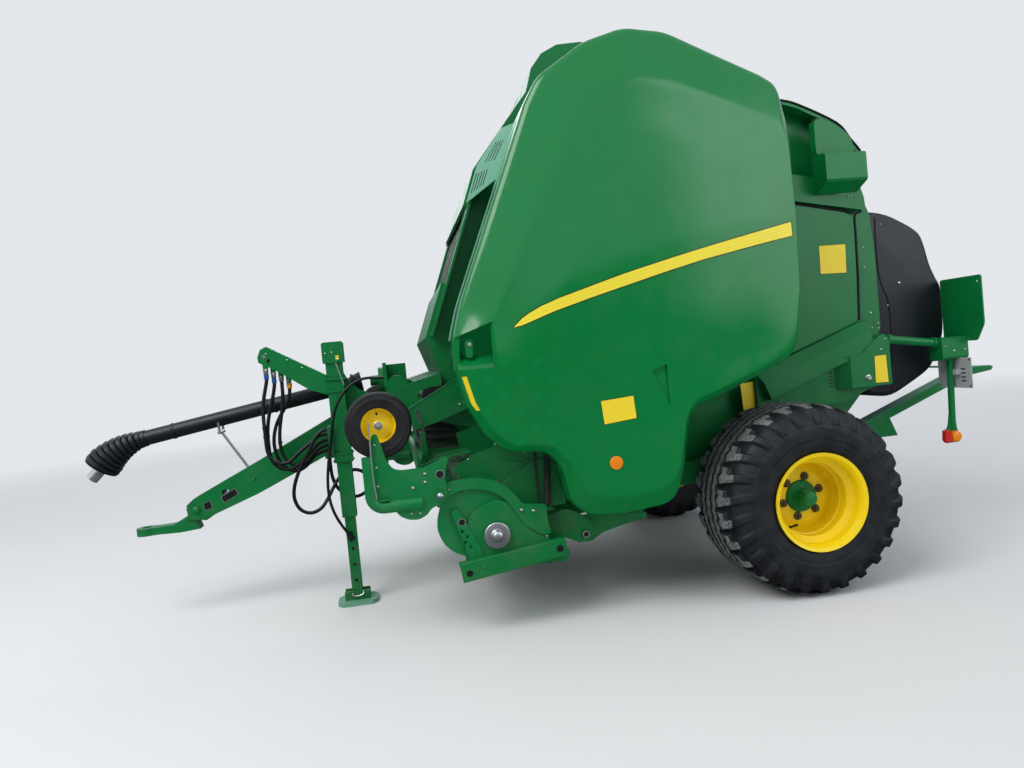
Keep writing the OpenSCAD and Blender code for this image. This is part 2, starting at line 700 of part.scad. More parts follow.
// Side shields. Each row: X and Z of the rim, then X and Z of the flat outer face beside it.
shield_rows = [[-1662, 1400, -1600, 1385], [-1613, 1556, -1484, 1470], [-1391, 2070, -1201, 1988],
  [-1234, 2434, -1001, 2334], [-1160, 2559, -935, 2420], [-929, 2709, -860, 2480], [-732, 2769, -716, 2515],
  [-530, 2743, -551, 2486], [-300, 2632, -300, 2378], [-74, 2526, -76, 2276], [4, 2477, -18, 2242],
  [38, 2294, 8, 2190], [43, 1833, 16, 1833], [33, 1496, 6, 1490], [0, 1215, -33, 1255], [-60, 1150, -88, 1190],
  [-206, 1092, -215, 1130], [-418, 1013, -430, 1052], [-537, 977, -562, 1012], [-577, 929, -610, 948],
  [-623, 709, -662, 718], [-665, 576, -706, 640], [-724, 528, -767, 609], [-947, 509, -930, 598],
  [-1106, 523, -1064, 614], [-1186, 589, -1135, 665], [-1213, 752, -1178, 775], [-1275, 843, -1262, 880],
  [-1465, 864, -1450, 902], [-1557, 953, -1527, 977], [-1626, 1093, -1592, 1108], [-1661, 1246, -1625, 1252]];

function mid(p, c, k) = [for (q = p) [c[0] + (q[0] - c[0]) * k, c[1] + (q[1] - c[1]) * k]];
shield_c = [-800, 1600];
shield_in = shield_y - shield_depth; // inner edge of the rims
strap_zs = [2598, 2749, 2582];

// Where a closed outline turns by more than about 12 degrees.
function unit(a, b) = (b - a) / norm(b - a);
function turns(p) = [for (i = [0 : len(p) - 1]) let (
  a = p[(i + len(p) - 1) % len(p)], b = p[i], c = p[(i + 1) % len(p)]) abs(cross(unit(a, b), unit(b, c))) > 0.2];
// A closed outline with each marked corner cut to three points of an arc that starts d along its edges at most.
function soften(p, d, marks) = let (marked = is_undef(marks) ? turns(p) : marks) [for (i = [0 : len(p) - 1]) let (
  a = p[(i + len(p) - 1) % len(p)], b = p[i], c = p[(i + 1) % len(p)],
  u = b + unit(b, a) * min(d, norm(a - b) * 0.4), v = b + unit(b, c) * min(d, norm(c - b) * 0.4))
  each marked[i] ? [u, (u + 2 * b + v) / 4, v] : [b]];

rims = [for (r = shield_rows) [r[0], r[1]]];
faces = [for (r = shield_rows) [r[2], r[3]]];
corners = [for (i = [0 : len(rims) - 1]) turns(rims)[i] || turns(faces)[i]];
rim_line = soften(rims, 45, corners);
face_line = soften(faces, 45, corners);

// One ring of a shield at depth y: k goes from the rim (0) to the face (1), c draws it in towards the middle.
function shield_ring(y, k, c) = [for (i = [0 : len(rim_line) - 1]) let (p = rim_line[i] * (1 - k) + face_line[i] * k)
  [shield_c[0] + (p[0] - shield_c[0]) * c, y, shield_c[1] + (p[1] - shield_c[1]) * c]];

// A closed solid through rings of equal length.
module loft(rings) {
  n = len(rings[0]);
  m = len(rings);
  polyhedron(points = [for (r = rings) each r], faces = concat(
    [[for (i = [0 : n - 1]) i]], [[for (i = [n - 1 : -1 : 0]) (m - 1) * n + i]],
    [for (j = [0 : m - 2]) for (i = [0 : n - 1]) [j * n + i, (j + 1) * n + i, j * n + (i + 1) % n]],
    [for (j = [0 : m - 2]) for (i = [0 : n - 1]) [j * n + (i + 1) % n, (j + 1) * n + i, (j + 1) * n + (i + 1) % n]]));
}

// Recess of the front handle: X and Y of its wedge, between two heights.
handle_zs = [1256, 1445];

module handle_wedge(out) {
  translate([0, 0, handle_zs[0] - out]) linear_extrude(handle_zs[1] - handle_zs[0] + 2 * out) polygon([
    [-1760, -shield_y - 40], [-1476 + out, -shield_y - 40], [-1476 + out, -shield_y], [-1560, -shield_y + 55 + out],
    [-1760, -shield_y + 75 + out]]);
}

module shield() {
  y0 = -shield_y;
  b = shield_bevel;
  t = shield_t;
  difference() {
    intersection() {
      loft([shield_ring(y0 - b * 0.1, 1.1, 1), shield_ring(y0 + b * 0.1, 0.9, 1),
        shield_ring(y0 + b * 0.93, 0.08, 1), shield_ring(y0 + b + 20, 0, 1), shield_ring(-shield_in + 20, 0, 1)]);
      block([-2000, y0, 0], [500, -shield_in, 3000]);
    }
    difference() {
      intersection() {
        loft([shield_ring(y0 + t - b * 0.1, 1.1, 0.985), shield_ring(y0 + b + t, 0.04, 0.985),
          shield_ring(y0 + b + t + 20, 0, 0.985), shield_ring(-shield_in + 40, 0, 0.985)]);
        block([-2000, y0 + t, 0], [500, -shield_in + 10, 3000]);
      }
      handle_wedge(10);
    }
    handle_wedge(0);
    // finger recess of the lower catch
    plate([[-765, 1168], [-690, 1192], [-690, 1000]], y0 - 10, y0 + 8);
  }
  // hinge straps from the rim to the rail's rod
  for (k = [0 : 2]) translate([strap_xs[k] - 46, 0, 0]) rotate([90, 0, 90]) linear_extrude(20) difference() {
    union() {
      polygon([[-hinge_y - 10, hinge_z - 30], [-hinge_y - 10, hinge_z + 30], [-shield_in - 40, strap_zs[k]],
        [-shield_in - 90, strap_zs[k]], [-shield_in - 90, strap_zs[k] - 60]]);
      translate([-hinge_y, hinge_z]) circle(d = 72);
    }
    translate([-hinge_y, hinge_z]) circle(d = 42);
  }
}

module shield_left() {
  color(green) at_axle() shield();
}

module shield_right() {
  color(green) at_axle() mirror([0, 1, 0]) shield();
}

// Tailgate: outline of its chamber sides and of its outer side panels.
gate_pts = [[gate_x, 2600], [349, 2500], [567, 2392], [690, 2240], [765, 2000], [790, 1700], [790, 1250],
  [700, 950], [500, 740], [250, 665], [gate_x, 665]];

// A profile in Y and height over the line from p to q, extruded along that line.
module along(p, q, profile) {
  l = norm([q[0] - p[0], q[1] - p[1]]);
  translate([p[0], 0, p[1]]) rotate([0, -atan2(q[1] - p[1], q[0] - p[0]), 0]) rotate([90, 0, 90])
    linear_extrude(l) polygon(profile);
}

module tailgate_frame() {
  y1 = -co + 2;
  color(green) at_axle() {
    difference() {
      plate(gate_pts, -co, co);
      plate(mid(gate_pts, [300, 1550], 0.985), -cw, cw);
      block([gate_x - 1, -cw, 700], [gate_x + 200, cw, 2500]);
    }
    both() {
      // folded edge along the top of the sides
      plate([[60, 2581], [349, 2500], [567, 2392], [690, 2240], [714, 2180], [694, 2172], [670, 2230],
        [554, 2374], [340, 2480], [60, 2558]], -gate_y, y1);
      plate([[gate_x, 2500], [gate_x, 2574], [110, 2545], [110, 2130], [gate_x, 2150]], -gate_y + 30, y1);
      // band between the upper and the lower panel
      plate([[gate_x, 2060], [gate_x, 2180], [292, 2126], [400, 2104], [440, 2030], [676, 1966], [679, 1912],
        [287, 1983]], -gate_y, y1);
      // lower panel
      plate(soften([[gate_x, 2030], [287, 1966], [593, 1905], [636, 1870], [626, 1571], [612, 1308], [200, 1165],
        [gate_x, 1085]], 24), -gate_y + 18, y1);
      // lower body with its sloping ledge
      plate([[gate_x, 1088], [106, 1125], [600, 1296], [640, 1300], [700, 1240], [700, 950], [480, 875],
        [150, 850], [gate_x, 862]], -gate_y, y1);
      along([gate_x + 6, 1074], [612, 1300], [[y1, 6], [-gate_y + 8, 6], [-gate_y - 3, 0], [-gate_y - 50, -52],
        [-gate_y - 50, -150], [y1, -150]]);
      // rear flange that carries the net cover
      plate(soften([[634, 1984], [740, 1955], [765, 1900], [780, 1700], [780, 1250], [704, 1140], [628, 1296]], 20),
        -co - 34, y1);
      // stepped box that carries the lamp tube
      translate([0, 0, 948]) linear_extrude(170) polygon([[432, -gate_y], [500, -gate_y - 56], [738, -gate_y - 56],
        [738, y1], [432, y1]]);
      plate(soften([[470, 1117], [560, 1120], [622, 1175], [700, 1228], [738, 1200], [738, 1117]], 14),
        -gate_y - 56, y1);
    }
    // arms up to the hinge pins
    both() difference() {
      plate([[gate_x, 2440], [gate_x, gate_pz - 60], [gate_px - 30, gate_pz - 20], [gate_px - 30, gate_pz + 30],
        [gate_px + 30, gate_pz + 36], [130, 2580], [160, 2440]], -co - 60, -co - 46);
      bar_y(gate_px, gate_pz, pin_d + 12, -co - 80, -co);
    }
    both() plate([[gate_x + 45, 2420], [gate_x + 45, 2560], [130, 2540], [160, 2420]], -co - 50, y1);
  }
}

module gate_covers() {
  color(green) at_axle() both() {
    plate(soften([[404, 2200], [404, 2396], [440, 2404], [560, 2350], [618, 2285], [632, 2200]], 30),
      -gate_y - 50, -gate_y);
    translate([404, 0, 0]) rotate([90, 0, 90]) linear_extrude(236) polygon([[-gate_y, 2212], [-gate_y - 50, 2212],
      [-gate_y - 122, 2200], [-gate_y - 130, 2190], [-gate_y - 130, 2062], [-gate_y - 124, 2050],
      [-gate_y - 30, 2008], [-gate_y, 2008]]);
  }
}

// Black cover over the net rolls: outline in X and Z.
hood_out = [[772.4, 1915], [844, 1911], [1001, 1849], [1120, 1761], [1163, 1592], [1222, 1461], [1211, 1185],
  [1112, 997], [859, 867], [679, 892]];
hood_in = [[800, 1900], [840, 1899], [994, 1838], [1109, 1754], [1152, 1588], [1210, 1458], [1200, 1188],
  [1104, 1006], [859, 879], [740, 890]];

module net_hood() {
  color(black) at_axle() difference() {
    plate(concat(hood_out, [[700.3, 949.9], [790.3, 1250], [790.3, 1700]]), -605, 605);
    plate(concat(hood_in, [[690, 950], [690, 1900]]), -593, 593);
  }
}

rear_rolls = [[120, 2370, 150], [590, 2080, 150], [640, 1120, 150], [160, 770, 150]];

module rear_rollers() {
  color(steel) at_axle() for (r = rear_rolls) bar_y(r[0], r[1], r[2], -cw, cw);
}

module rear_belts() {
  color(black) at_axle() tangent_belts(rear_rolls[2], rear_rolls[1], 1);
}

module light_brackets() {
  ly = gate_y + 25;
  color(green) at_axle() both() {
    difference() {
      rod([700, -ly, 1198], [1060, -ly, 1142], 45);
      block([600, -ly - 40, 1100], [738, -ly + 40, 1300]);
    }
    translate([1040, 0, 0]) rotate([90, 0, 90]) linear_extrude(160) polygon([[-ly - 50, 1060], [-ly - 42, 1050],
      [-ly + 50, 1040], [-ly + 50, 1170], [-ly - 42, 1170], [-ly - 50, 1160]]);
    rod([1120, -ly, 1050], [1106, -ly, 662], 34);
    plate(soften([[1094, 760], [1118, 760], [1128, 660], [1146, 600], [1140, 582], [1060, 582], [1040, 600],
      [1080, 680]], 10), -ly - 6, -ly + 6);
  }
}

module marker_boards() {
  color(green) at_axle() both() {
    translate([1200, 0, 0]) rotate([90, 0, 90]) linear_extrude(8) difference() {
      polygon(soften([[-920, 1230], [-862, 1140], [-612, 1140], [-612, 1493], [-920, 1493]], 14));
      translate([-890, 1460]) circle(d = 14);
    }
    // folded edge
    block([1200, -615, 1150], [1222, -612, 1480]);
  }
}

module plate_holders() {
  color(steel) at_axle() both() difference() {
    block([1208, -890, 845], [1213, -630, 1200]);
    for (z = [880, 1100], y = [-860, -660]) translate([1200, y, z]) rotate([0, 90, 0]) cylinder(d = 13, h = 20);
  }
}

module rear_lamps() {
  ly = gate_y + 25;
  color([0.9, 0.3, 0.05]) at_axle() both() {
    bar_y(1112, 616, 56, -ly - 20, -ly - 6);
    bar_y(1112, 616, 64, -ly - 10, -ly - 6);
    block([1046, -ly - 18, 590], [1074, -ly - 6, 640]);
  }
}

// Pickup.
reel_x = -1534;
reel_z = 466;
pk = pickup_width / 2;

// Outer faces of the pickup's layers, outward from the cheeks: cheek, side plate, arm.
cheek_y = pk - 22;
arm_y = pk + 10;
wg_x = -1782;
wg_z = 688;
wg_pin = 30;

module pickup_frame() {
  color(green) at_axle() {
    both() {
      // cheek beside the bands
      difference() {
        plate(soften([[-1776, 662], [-1804, 571], [-1810, 517], [-1782, 442], [-1724, 394], [-1650, 372], [-1500, 372],
          [-1400, 440], [-1400, 560], [-1500, 680], [-1640, 700]], 30), -cheek_y - 10, -cheek_y);
        bar_y(reel_x, reel_z, 70, -pk - 1, -cheek_y + 1);
      }
      // side plate that carries the reel's bearing
      difference() {
        plate(soften([[-1690, 330], [-1690, 450], [-1653, 579], [-1602, 612], [-1521, 633], [-1444, 604], [-1380, 580],
          [-1285, 575], [-1283, 400], [-1190, 350], [-1200, 300], [-1400, 300]], 20), -pk, -cheek_y - 10);
        bar_y(reel_x, reel_z, 70, -pk - 1, -cheek_y);
      }
      // curved arm on the side plate, with the windguard's pin
      difference() {
        plate(soften([[-1812, 690], [-1799, 748], [-1755, 740], [-1707, 747], [-1620, 750], [-1527, 729], [-1468, 690],
          [-1418, 628], [-1400, 597], [-1285, 584], [-1286, 492], [-1271, 442], [-1320, 440], [-1400, 500],
          [-1426, 550], [-1460, 606], [-1503, 651], [-1556, 681], [-1618, 697], [-1688, 697], [-1752, 672],
          [-1790, 660]], 16), -arm_y, -pk);
      }
      bar_y(wg_x, wg_z, wg_pin, -arm_y - 24, -arm_y);
      bar_y(wg_x, wg_z, wg_pin + 20, -arm_y - 34, -arm_y - 24);
      // slanted plate with the adjusting holes
      difference() {
        plate(soften([[-1740, 600], [-1716, 615], [-1698, 597], [-1621, 425], [-1595, 356], [-1663, 348],
          [-1732, 574]], 10), -arm_y, -pk);
        for (h = [[-1693, 548, 26], [-1696, 505, 16], [-1674, 478, 16], [-1686, 452, 16], [-1664, 428, 14]])
          bar_y(h[0], h[1], h[2], -arm_y - 1, -pk + 1);
      }
      // lower beam, open at both ends
      difference() {
        plate([[-1709, 262], [-1722, 345], [-1213, 416], [-1201, 335]], -pk - 2, -pk + 50);
        plate([[-1712, 268], [-1716, 338], [-1219, 408], [-1207, 341]], -pk + 4, -pk + 44);
        bar_y(-1680, 305, 32, -pk - 3, -pk + 6);
        bar_y(-1238, 362, 34, -pk - 3, -pk + 6);
      }
      // lug of the lift spring and chain
      block([-1330, -cheek_y - 10, 548], [-1250, -spring_y + 20, 556]);
      // arm to the pivot
      difference() {
        plate(soften([[-1272, 505], [-1240, 512], [-1174, 527], [-1100, 495], [-1040, 440], [-1036, 395],
          [-1060, 358], [-1110, 352], [-1200, 390], [-1205, 320], [-1260, 320]], 14), -lug_y - 24, -lug_y - 8);
        bar_y(pivot_x, pivot_z, pin_d + 4, -lug_y - 30, -lug_y);
      }
    }
    // cross tube behind the reel
    bar_y(-1230, 330, 70, -pk + 1, pk - 1);
  }
}

band_y = pk - 75;
band_step = 2 * band_y / band_count;
band_back = 257;

module stripper_bands() {
  color(green) at_axle() {
    for (i = [0 : band_count - 1]) translate([reel_x, -band_y + band_step * (i + 0.5) - band_w / 2, reel_z]) {
      difference() {
        bar_y(0, 0, 2 * band_r, 0, band_w);
        bar_y(0, 0, 2 * band_r - 8, -1, band_w + 1);
        block([0, -1, -300], [300, band_w + 1, 300]);
      }
      plate([[0, band_r], [0, band_r - 4], [120, band_r - 14], [198, band_r - 39], [198, band_r - 35],
        [120, band_r - 10]], 0, band_w);
      block([0, 0, -band_r], [band_back, band_w, -band_r + 4]);
    }
    translate([reel_x, 0, reel_z]) block([band_back - 2, -pk + 50, -band_r], [band_back + 4, pk - 50, -100]);
  }
}

module tine_reel() {
  color(steel) at_axle() translate([reel_x, 0, reel_z]) {
    bar_y(0, 0, 60, -pk - 6, pk + 6);
    both() {
      bar_y(0, 0, 122, -pk - 18, -pk - 6);
      bar_y(0, 0, 52, -pk - 36, -pk - 18);
      bar_y(0, 0, 36, -pk - 42, -pk - 36);
    }
    for (b = [0 : tine_bars - 1]) rotate([0, 20 + b * 360 / tine_bars, 0]) {
      bar_y(120, 0, 34, -band_y + 10, band_y - 10);
      for (i = [1 : band_count - 1]) translate([120, -band_y + band_step * i, 0]) rotate([0, 90, 0])
        cylinder(d = tine_d, h = tine_r - 120);
    }
    for (i = [1, 9, 18, 26]) translate([0, -band_y + band_step * i + 5, 0]) rotate([90, 0, 0])
      cylinder(r = 130, h = 10);
  }
}

wg_y = arm_y + 16;
wg_tube = 60;
gauge_x = -2031;
gauge_z = 1038;
gauge_y = pk - 62;
wg_bend = 55;
// Front tube of the windguard: X, Z and diameter; and the length of the bosses that hold it.
front_tube = [-2055, 730, 60];
boss_l = wg_y - gauge_y + 64;

// Arms at both sides: plate, bent tube, gauge wheel axle and the boss that takes the front tube.
module windguard_arms() {
  color(green) at_axle() both() {
    difference() {
      plate(soften([[-2075, 968], [-2064, 1004], [-2041, 1004], [-2031, 963], [-2010, 875], [-1985, 836],
        [-1950, 825], [-1841, 827], [-1746, 866], [-1722, 857], [-1740, 830], [-1752, 760], [-1745, 690],
        [-1770, 650], [-1825, 635], [-1848, 607], [-1885, 589], [-1929, 592], [-1968, 610], [-2000, 650],
        [-2072, 690]], 14), -wg_y, -wg_y + 10);
      bar_y(wg_x, wg_z, wg_pin + 4, -wg_y - 1, -wg_y + 11);
    }
    // bent tube along the plate
    translate([0, -wg_y + 5, 0]) {
      translate([-2092, 0, 666 + wg_bend]) cylinder(d = wg_tube, h = 180);
      translate([-2092 + wg_bend, 0, 666 + wg_bend]) rotate([90, 180, 0])
        rotate_extrude(angle = 90) translate([wg_bend, 0]) circle(d = wg_tube);
      translate([-2092 + wg_bend, 0, 666]) rotate([0, 90, 0]) cylinder(d = wg_tube, h = 172);
    }
    bar_y(front_tube[0], front_tube[1], front_tube[2] + 12, -wg_y + 4, -wg_y + boss_l);
    bar_y(gauge_x, gauge_z, 24, -gauge_y - 52, -gauge_y + 64);
    plate(soften([[-2090, 700], [-2084, 900], [-2060, 1064], [-2004, 1064], [-2000, 900], [-2010, 700]], 20),
      -gauge_y + 54, -gauge_y + 64);
  }
}

// Front tube of the windguard and the bar that carries its tines.
module tine_bar(to) {
  bar_y(-1850, 780, 44, -to, to);
}

module windguard() {
  color(green) at_axle() {
    bar_y(front_tube[0], front_tube[1], front_tube[2], -wg_y + boss_l, wg_y - boss_l);
    tine_bar(wg_y - 10);
  }
}

// Tines over the pickup, on a rail that is seated on the bar.
module windguard_tines() {
  color(green) at_axle() {
    difference() {
      block([-1862, -850, 799], [-1838, 850, 812]);
      tine_bar(860);
    }
    for (y = [-840 : 84 : 840]) {
      rod([-1844, y, 809], [-1760, y, 838], 12);
      rod([-1764, y, 837], [-1600, y, 848], 12);
    }
  }
}

module gauge_tyre(s) {
  translate([gauge_x, s * gauge_y, gauge_z]) rotate([90, 0, 0]) rotate_extrude($fn = 72)
    polygon([[92, -36], [120, -46], [145, -40], [156, -20], [156, 20], [145, 40], [120, 46], [92, 36]]);
}

module gauge_rim(s) {
  translate([gauge_x, s * gauge_y, gauge_z]) rotate([90, 0, 0]) difference() {
    union() {
      rotate_extrude($fn = 72) polygon([[20, -10], [70, -20], [84, -42], [92, -42], [92, 42], [84, 42], [70, 0],
        [20, 10]]);
      translate([0, 0, -30]) cylinder(d = 56, h = 60);
    }
    translate([0, 0, -50]) cylinder(d = 34, h = 100);
  }
}

module gauge_tyre_left() {
  color(black) at_axle() gauge_tyre(-1);
}

module gauge_tyre_right() {
  color(black) at_axle() gauge_tyre(1);
}

module gauge_rim_left() {
  color(yellow) at_axle() gauge_rim(-1);
}

module gauge_rim_right() {
  color(yellow) at_axle() gauge_rim(1);
}

ramp_tube = 60;

module bale_ramp() {
  ry = ramp_gap / 2;
  rw = ramp_w / 2;
  color(green) at_axle() {
    both() difference() {
      plate([[300, 572], [300, 628], [743, 712], [1440, 968], [1598, 966], [rear_x, 956], [1600, 940], [1451, 922],
        [908, 722], [951, 616], [827, 616], [770, 665]], -ry - rw, -ry + rw);
      plate([[400, 560], [400, 634], [743, 702], [1440, 958], [1590, 956], [1700, 900], [1200, 560]],
        -ry - rw + 8, -ry + rw - 8);
    }
    difference() {
      bar_y(ramp_x, ramp_z, ramp_tube, -co + 6, co - 6);
      both() bar_y(ramp_x, ramp_z, 42, -co, -co + 68);
    }
    block([1540, -ry - rw, 958], [1590, ry + rw, 966]);
  }
}

chamber_frame();
pickup_carriers();
axle_beam();
roof_panel();
front_panel();
drawbar();
hitch_eye();
jack_mast();
hose_arm();
gearbox();
platform();
side_guards();
lift_springs();
hose_1();
hose_2();
hose_3();
hose_4();
hose_loop();
lamp_cable();
lamp_plug();
front_rollers();
front_belts();
feed_rotor();
jack_leg();
pto_guard();
pto_bellows();
pto_yoke();
tyre_left();
tyre_right();
rim_left();
rim_right();
hub_left();
hub_right();
shield_left();
shield_right();
tailgate_frame();
gate_covers();
net_hood();
rear_rollers();
rear_belts();
light_brackets();
marker_boards();
plate_holders();
rear_lamps();
pickup_frame();
stripper_bands();
tine_reel();
windguard_arms();
windguard();
windguard_tines();
gauge_tyre_left();
gauge_tyre_right();
gauge_rim_left();
gauge_rim_right();
bale_ramp();
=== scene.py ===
"""Round baler: looks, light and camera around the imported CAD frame. Metres throughout."""
import json
import math

import bmesh
import bpy
from mathutils import Matrix, Vector
from mathutils.geometry import delaunay_2d_cdt


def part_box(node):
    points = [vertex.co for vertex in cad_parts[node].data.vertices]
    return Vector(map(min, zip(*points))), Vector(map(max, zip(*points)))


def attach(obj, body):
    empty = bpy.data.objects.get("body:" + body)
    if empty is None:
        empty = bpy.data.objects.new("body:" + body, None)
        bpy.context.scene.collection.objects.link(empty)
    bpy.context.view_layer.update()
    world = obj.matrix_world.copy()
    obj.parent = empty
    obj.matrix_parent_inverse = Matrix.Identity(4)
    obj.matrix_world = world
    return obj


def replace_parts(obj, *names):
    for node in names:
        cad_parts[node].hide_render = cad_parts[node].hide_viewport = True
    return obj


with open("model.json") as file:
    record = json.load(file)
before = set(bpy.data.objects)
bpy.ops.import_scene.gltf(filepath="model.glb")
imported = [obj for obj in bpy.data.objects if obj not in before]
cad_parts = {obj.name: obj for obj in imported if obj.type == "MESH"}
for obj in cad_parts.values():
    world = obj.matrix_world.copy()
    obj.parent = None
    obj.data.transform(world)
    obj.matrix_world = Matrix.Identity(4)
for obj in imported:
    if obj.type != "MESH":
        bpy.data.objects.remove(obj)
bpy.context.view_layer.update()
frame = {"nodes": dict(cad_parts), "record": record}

scene = bpy.context.scene
scene.view_settings.view_transform = "Standard"

# The axle's line, from which the machine is measured, in the part's frame.
TYRE_LO, TYRE_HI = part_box("tyre_left")
AXLE_X = (TYRE_LO.x + TYRE_HI.x) / 2
WHEEL_Y = abs(TYRE_LO.y + TYRE_HI.y) / 2


def at(x, y, z):
    """A place given in millimetres from the axle's line, as metres in the part's frame."""
    return Vector((x / 1000 + AXLE_X, y / 1000, z / 1000))


# Camera: angles in radians, lens and sensor in millimetres
CAMERA_AT = at(-1959.2, -4601.2, 1292.8)
CAMERA_YAW = 0.1565
CAMERA_PITCH = -0.0346
CAMERA_ROLL = -0.0969
CAMERA_LENS = 27.1
SENSOR_WIDTH = 36
FAR_CLIP = 200


def make_camera():
    """The photograph's place and angle, fitted in the axle's frame."""
    cy, sy = math.cos(CAMERA_YAW), math.sin(CAMERA_YAW)
    cp, sp = math.cos(CAMERA_PITCH), math.sin(CAMERA_PITCH)
    forward = Vector((sy * cp, cy * cp, sp))
    right = Vector((cy, -sy, 0))
    up = right.cross(forward)
    cr, sr = math.cos(CAMERA_ROLL), math.sin(CAMERA_ROLL)
    right, up = cr * right + sr * up, cr * up - sr * right
    data = bpy.data.cameras.new("camera")
    data.lens = CAMERA_LENS
    data.sensor_width = SENSOR_WIDTH
    data.clip_end = FAR_CLIP
    cam = bpy.data.objects.new("camera", data)
    turn = Matrix((right, up, -forward)).transposed()
    cam.matrix_world = Matrix.Translation(CAMERA_AT) @ turn.to_4x4()
    scene.collection.objects.link(cam)
    scene.camera = cam


make_camera()


# Materials
class Nodes:
    """A node tree of a material or world, with short calls for the nodes that are used here."""

    def __init__(self, name, owner=None):
        self.mat = owner or bpy.data.materials.new(name)
        self.mat.use_nodes = True
        self.tree = self.mat.node_tree
        self.bsdf = self.tree.nodes.get("Principled BSDF")
        self.place = self.node("ShaderNodeTexCoord").outputs["Object"]

    def node(self, kind, **sockets):
        made = self.tree.nodes.new(kind)
        for key, value in sockets.items():
            self.link(value, made.inputs[key.replace("_", " ")])
        return made

    def link(self, value, socket):
        """Links a socket, or sets a number or a colour on it."""
        if isinstance(value, bpy.types.NodeSocket):
            self.tree.links.new(value, socket)
        elif isinstance(value, tuple) and socket.type == "RGBA":
            socket.default_value = (*value[:3], 1)
        else:
            socket.default_value = value

    def noise(self, scale, detail=4, roughness=0.55, stretch=None):
        place = self.place
        if stretch:
            place = self.node("ShaderNodeMapping", Vector=place, Scale=stretch).outputs[0]
        made = self.node("ShaderNodeTexNoise", Vector=place, Scale=scale, Detail=detail, Roughness=roughness)
        return made.outputs["Fac"]

    def voronoi(self, scale):
        return self.node("ShaderNodeTexVoronoi", Vector=self.place, Scale=scale).outputs["Distance"]

    def ramp(self, value, stops):
        """stops lists places and colours."""
        made = self.node("ShaderNodeValToRGB", Fac=value)
        elements = made.color_ramp.elements
        while len(elements) < len(stops):
            elements.new(0.5)
        for element, (place, colour) in zip(elements, stops):
            element.position = place
            element.color = (*colour, 1)
        return made.outputs[0]

    def mask(self, value, lo, hi, dark=0.0):
        """Grey that rises from dark at lo to 1 at hi."""
        return self.ramp(value, [(lo, (dark,) * 3), (hi, (1, 1, 1))])

    def mix(self, a, b, factor, blend="MIX"):
        made = self.node("ShaderNodeMix")
        made.data_type = "RGBA"
        made.blend_type = blend
        self.link(factor, made.inputs["Factor"])
        self.link(a, made.inputs[6])
        self.link(b, made.inputs[7])
        return made.outputs[2]

    def maths(self, kind, a, b=0.0):
        made = self.node("ShaderNodeMath")
        made.operation = kind
        self.link(a, made.inputs[0])
        self.link(b, made.inputs[1])
        return made.outputs[0]

    def height(self):
        """How high a point is over the ground, in metres."""
        return self.node("ShaderNodeSeparateXYZ", Vector=self.place).outputs["Z"]

    def bump(self, height, strength, distance=0.002):
        made = self.node("ShaderNodeBump", Height=height, Strength=strength, Distance=distance)
        self.link(made.outputs[0], self.bsdf.inputs["Normal"])

    def blend(self, factor, first, second):
        made = self.node("ShaderNodeMixShader", Fac=factor)
        self.link(first.outputs[0], made.inputs[1])
        self.link(second.outputs[0], made.inputs[2])
        return made

    def finish(self, colour, roughness, metallic=0.0, specular=0.5):
        self.link(colour, self.bsdf.inputs["Base Color"])
        self.link(roughness, self.bsdf.inputs["Roughness"])
        self.bsdf.inputs["Metallic"].default_value = metallic
        self.bsdf.inputs["Specular IOR Level"].default_value = specular
        return self.mat


DUST = (0.2, 0.18, 0.13)
PRIMER = (0.09, 0.075, 0.06)


def paint(name, colour, worn, chip=0.0, gloss=0.3, dust=0.3, grain=0.04, drift_at=1.6, specular=0.35):
    """Sprayed paint: slow colour drift, dust that grows towards the ground, small chips and fine orange peel."""
    n = Nodes(name)
    base = n.mix(colour, worn, n.mask(n.noise(drift_at, 3), 0.35, 0.72))
    low = n.maths("SUBTRACT", 1.0, n.maths("DIVIDE", n.height(), 1.4))
    patches = n.mask(n.noise(7, 8, 0.7), 0.45, 0.78)
    dusty = n.maths("MULTIPLY", n.maths("MULTIPLY", n.maths("MAXIMUM", low, 0.06), patches), dust)
    base = n.mix(base, DUST, dusty)
    if chip:
        flakes = n.mask(n.noise(46, 10, 0.72), 0.7 - chip, 0.715 - chip)
        spots = n.mask(n.noise(3.1, 2), 0.52, 0.62)
        base = n.mix(base, PRIMER, n.maths("MULTIPLY", flakes, spots))
    streaks = n.mask(n.noise(5, 6, 0.6, (9, 9, 0.7)), 0.4, 0.75)
    base = n.mix(base, worn, n.maths("MULTIPLY", streaks, 0.25))
    rough = n.maths("ADD", n.maths("MULTIPLY", patches, 0.16), gloss)
    n.bump(n.noise(160, 2), grain, 0.0008)
    return n.finish(base, rough, specular=specular)


def rubber(name, colour, pale, scale=22, amount=0.5, grain=0.2):
    """Matt rubber with dust in its hollows and fine grain."""
    n = Nodes(name)
    cloud = n.mask(n.noise(scale, 8, 0.68), 0.4, 0.72)
    base = n.mix(colour, pale, n.maths("MULTIPLY", cloud, amount))
    n.bump(n.noise(260, 4), grain, 0.0012)
    return n.finish(base, n.maths("ADD", n.maths("MULTIPLY", cloud, 0.2), 0.5), specular=0.3)


def worn_tread(name):
    """Tops of the lugs, scuffed pale by the road, with grit between."""
    n = Nodes(name)
    grit = n.mask(n.noise(150, 6, 0.75), 0.42, 0.6)
    cloud = n.mask(n.noise(14, 5), 0.3, 0.7)
    base = n.mix((0.05, 0.053, 0.058), (0.33, 0.34, 0.34), n.maths("MULTIPLY", grit, n.maths("ADD", cloud, 0.35)))
    n.bump(grit, 0.4, 0.0015)
    return n.finish(base, 0.85, specular=0.25)


RUST = (0.2, 0.16, 0.12)


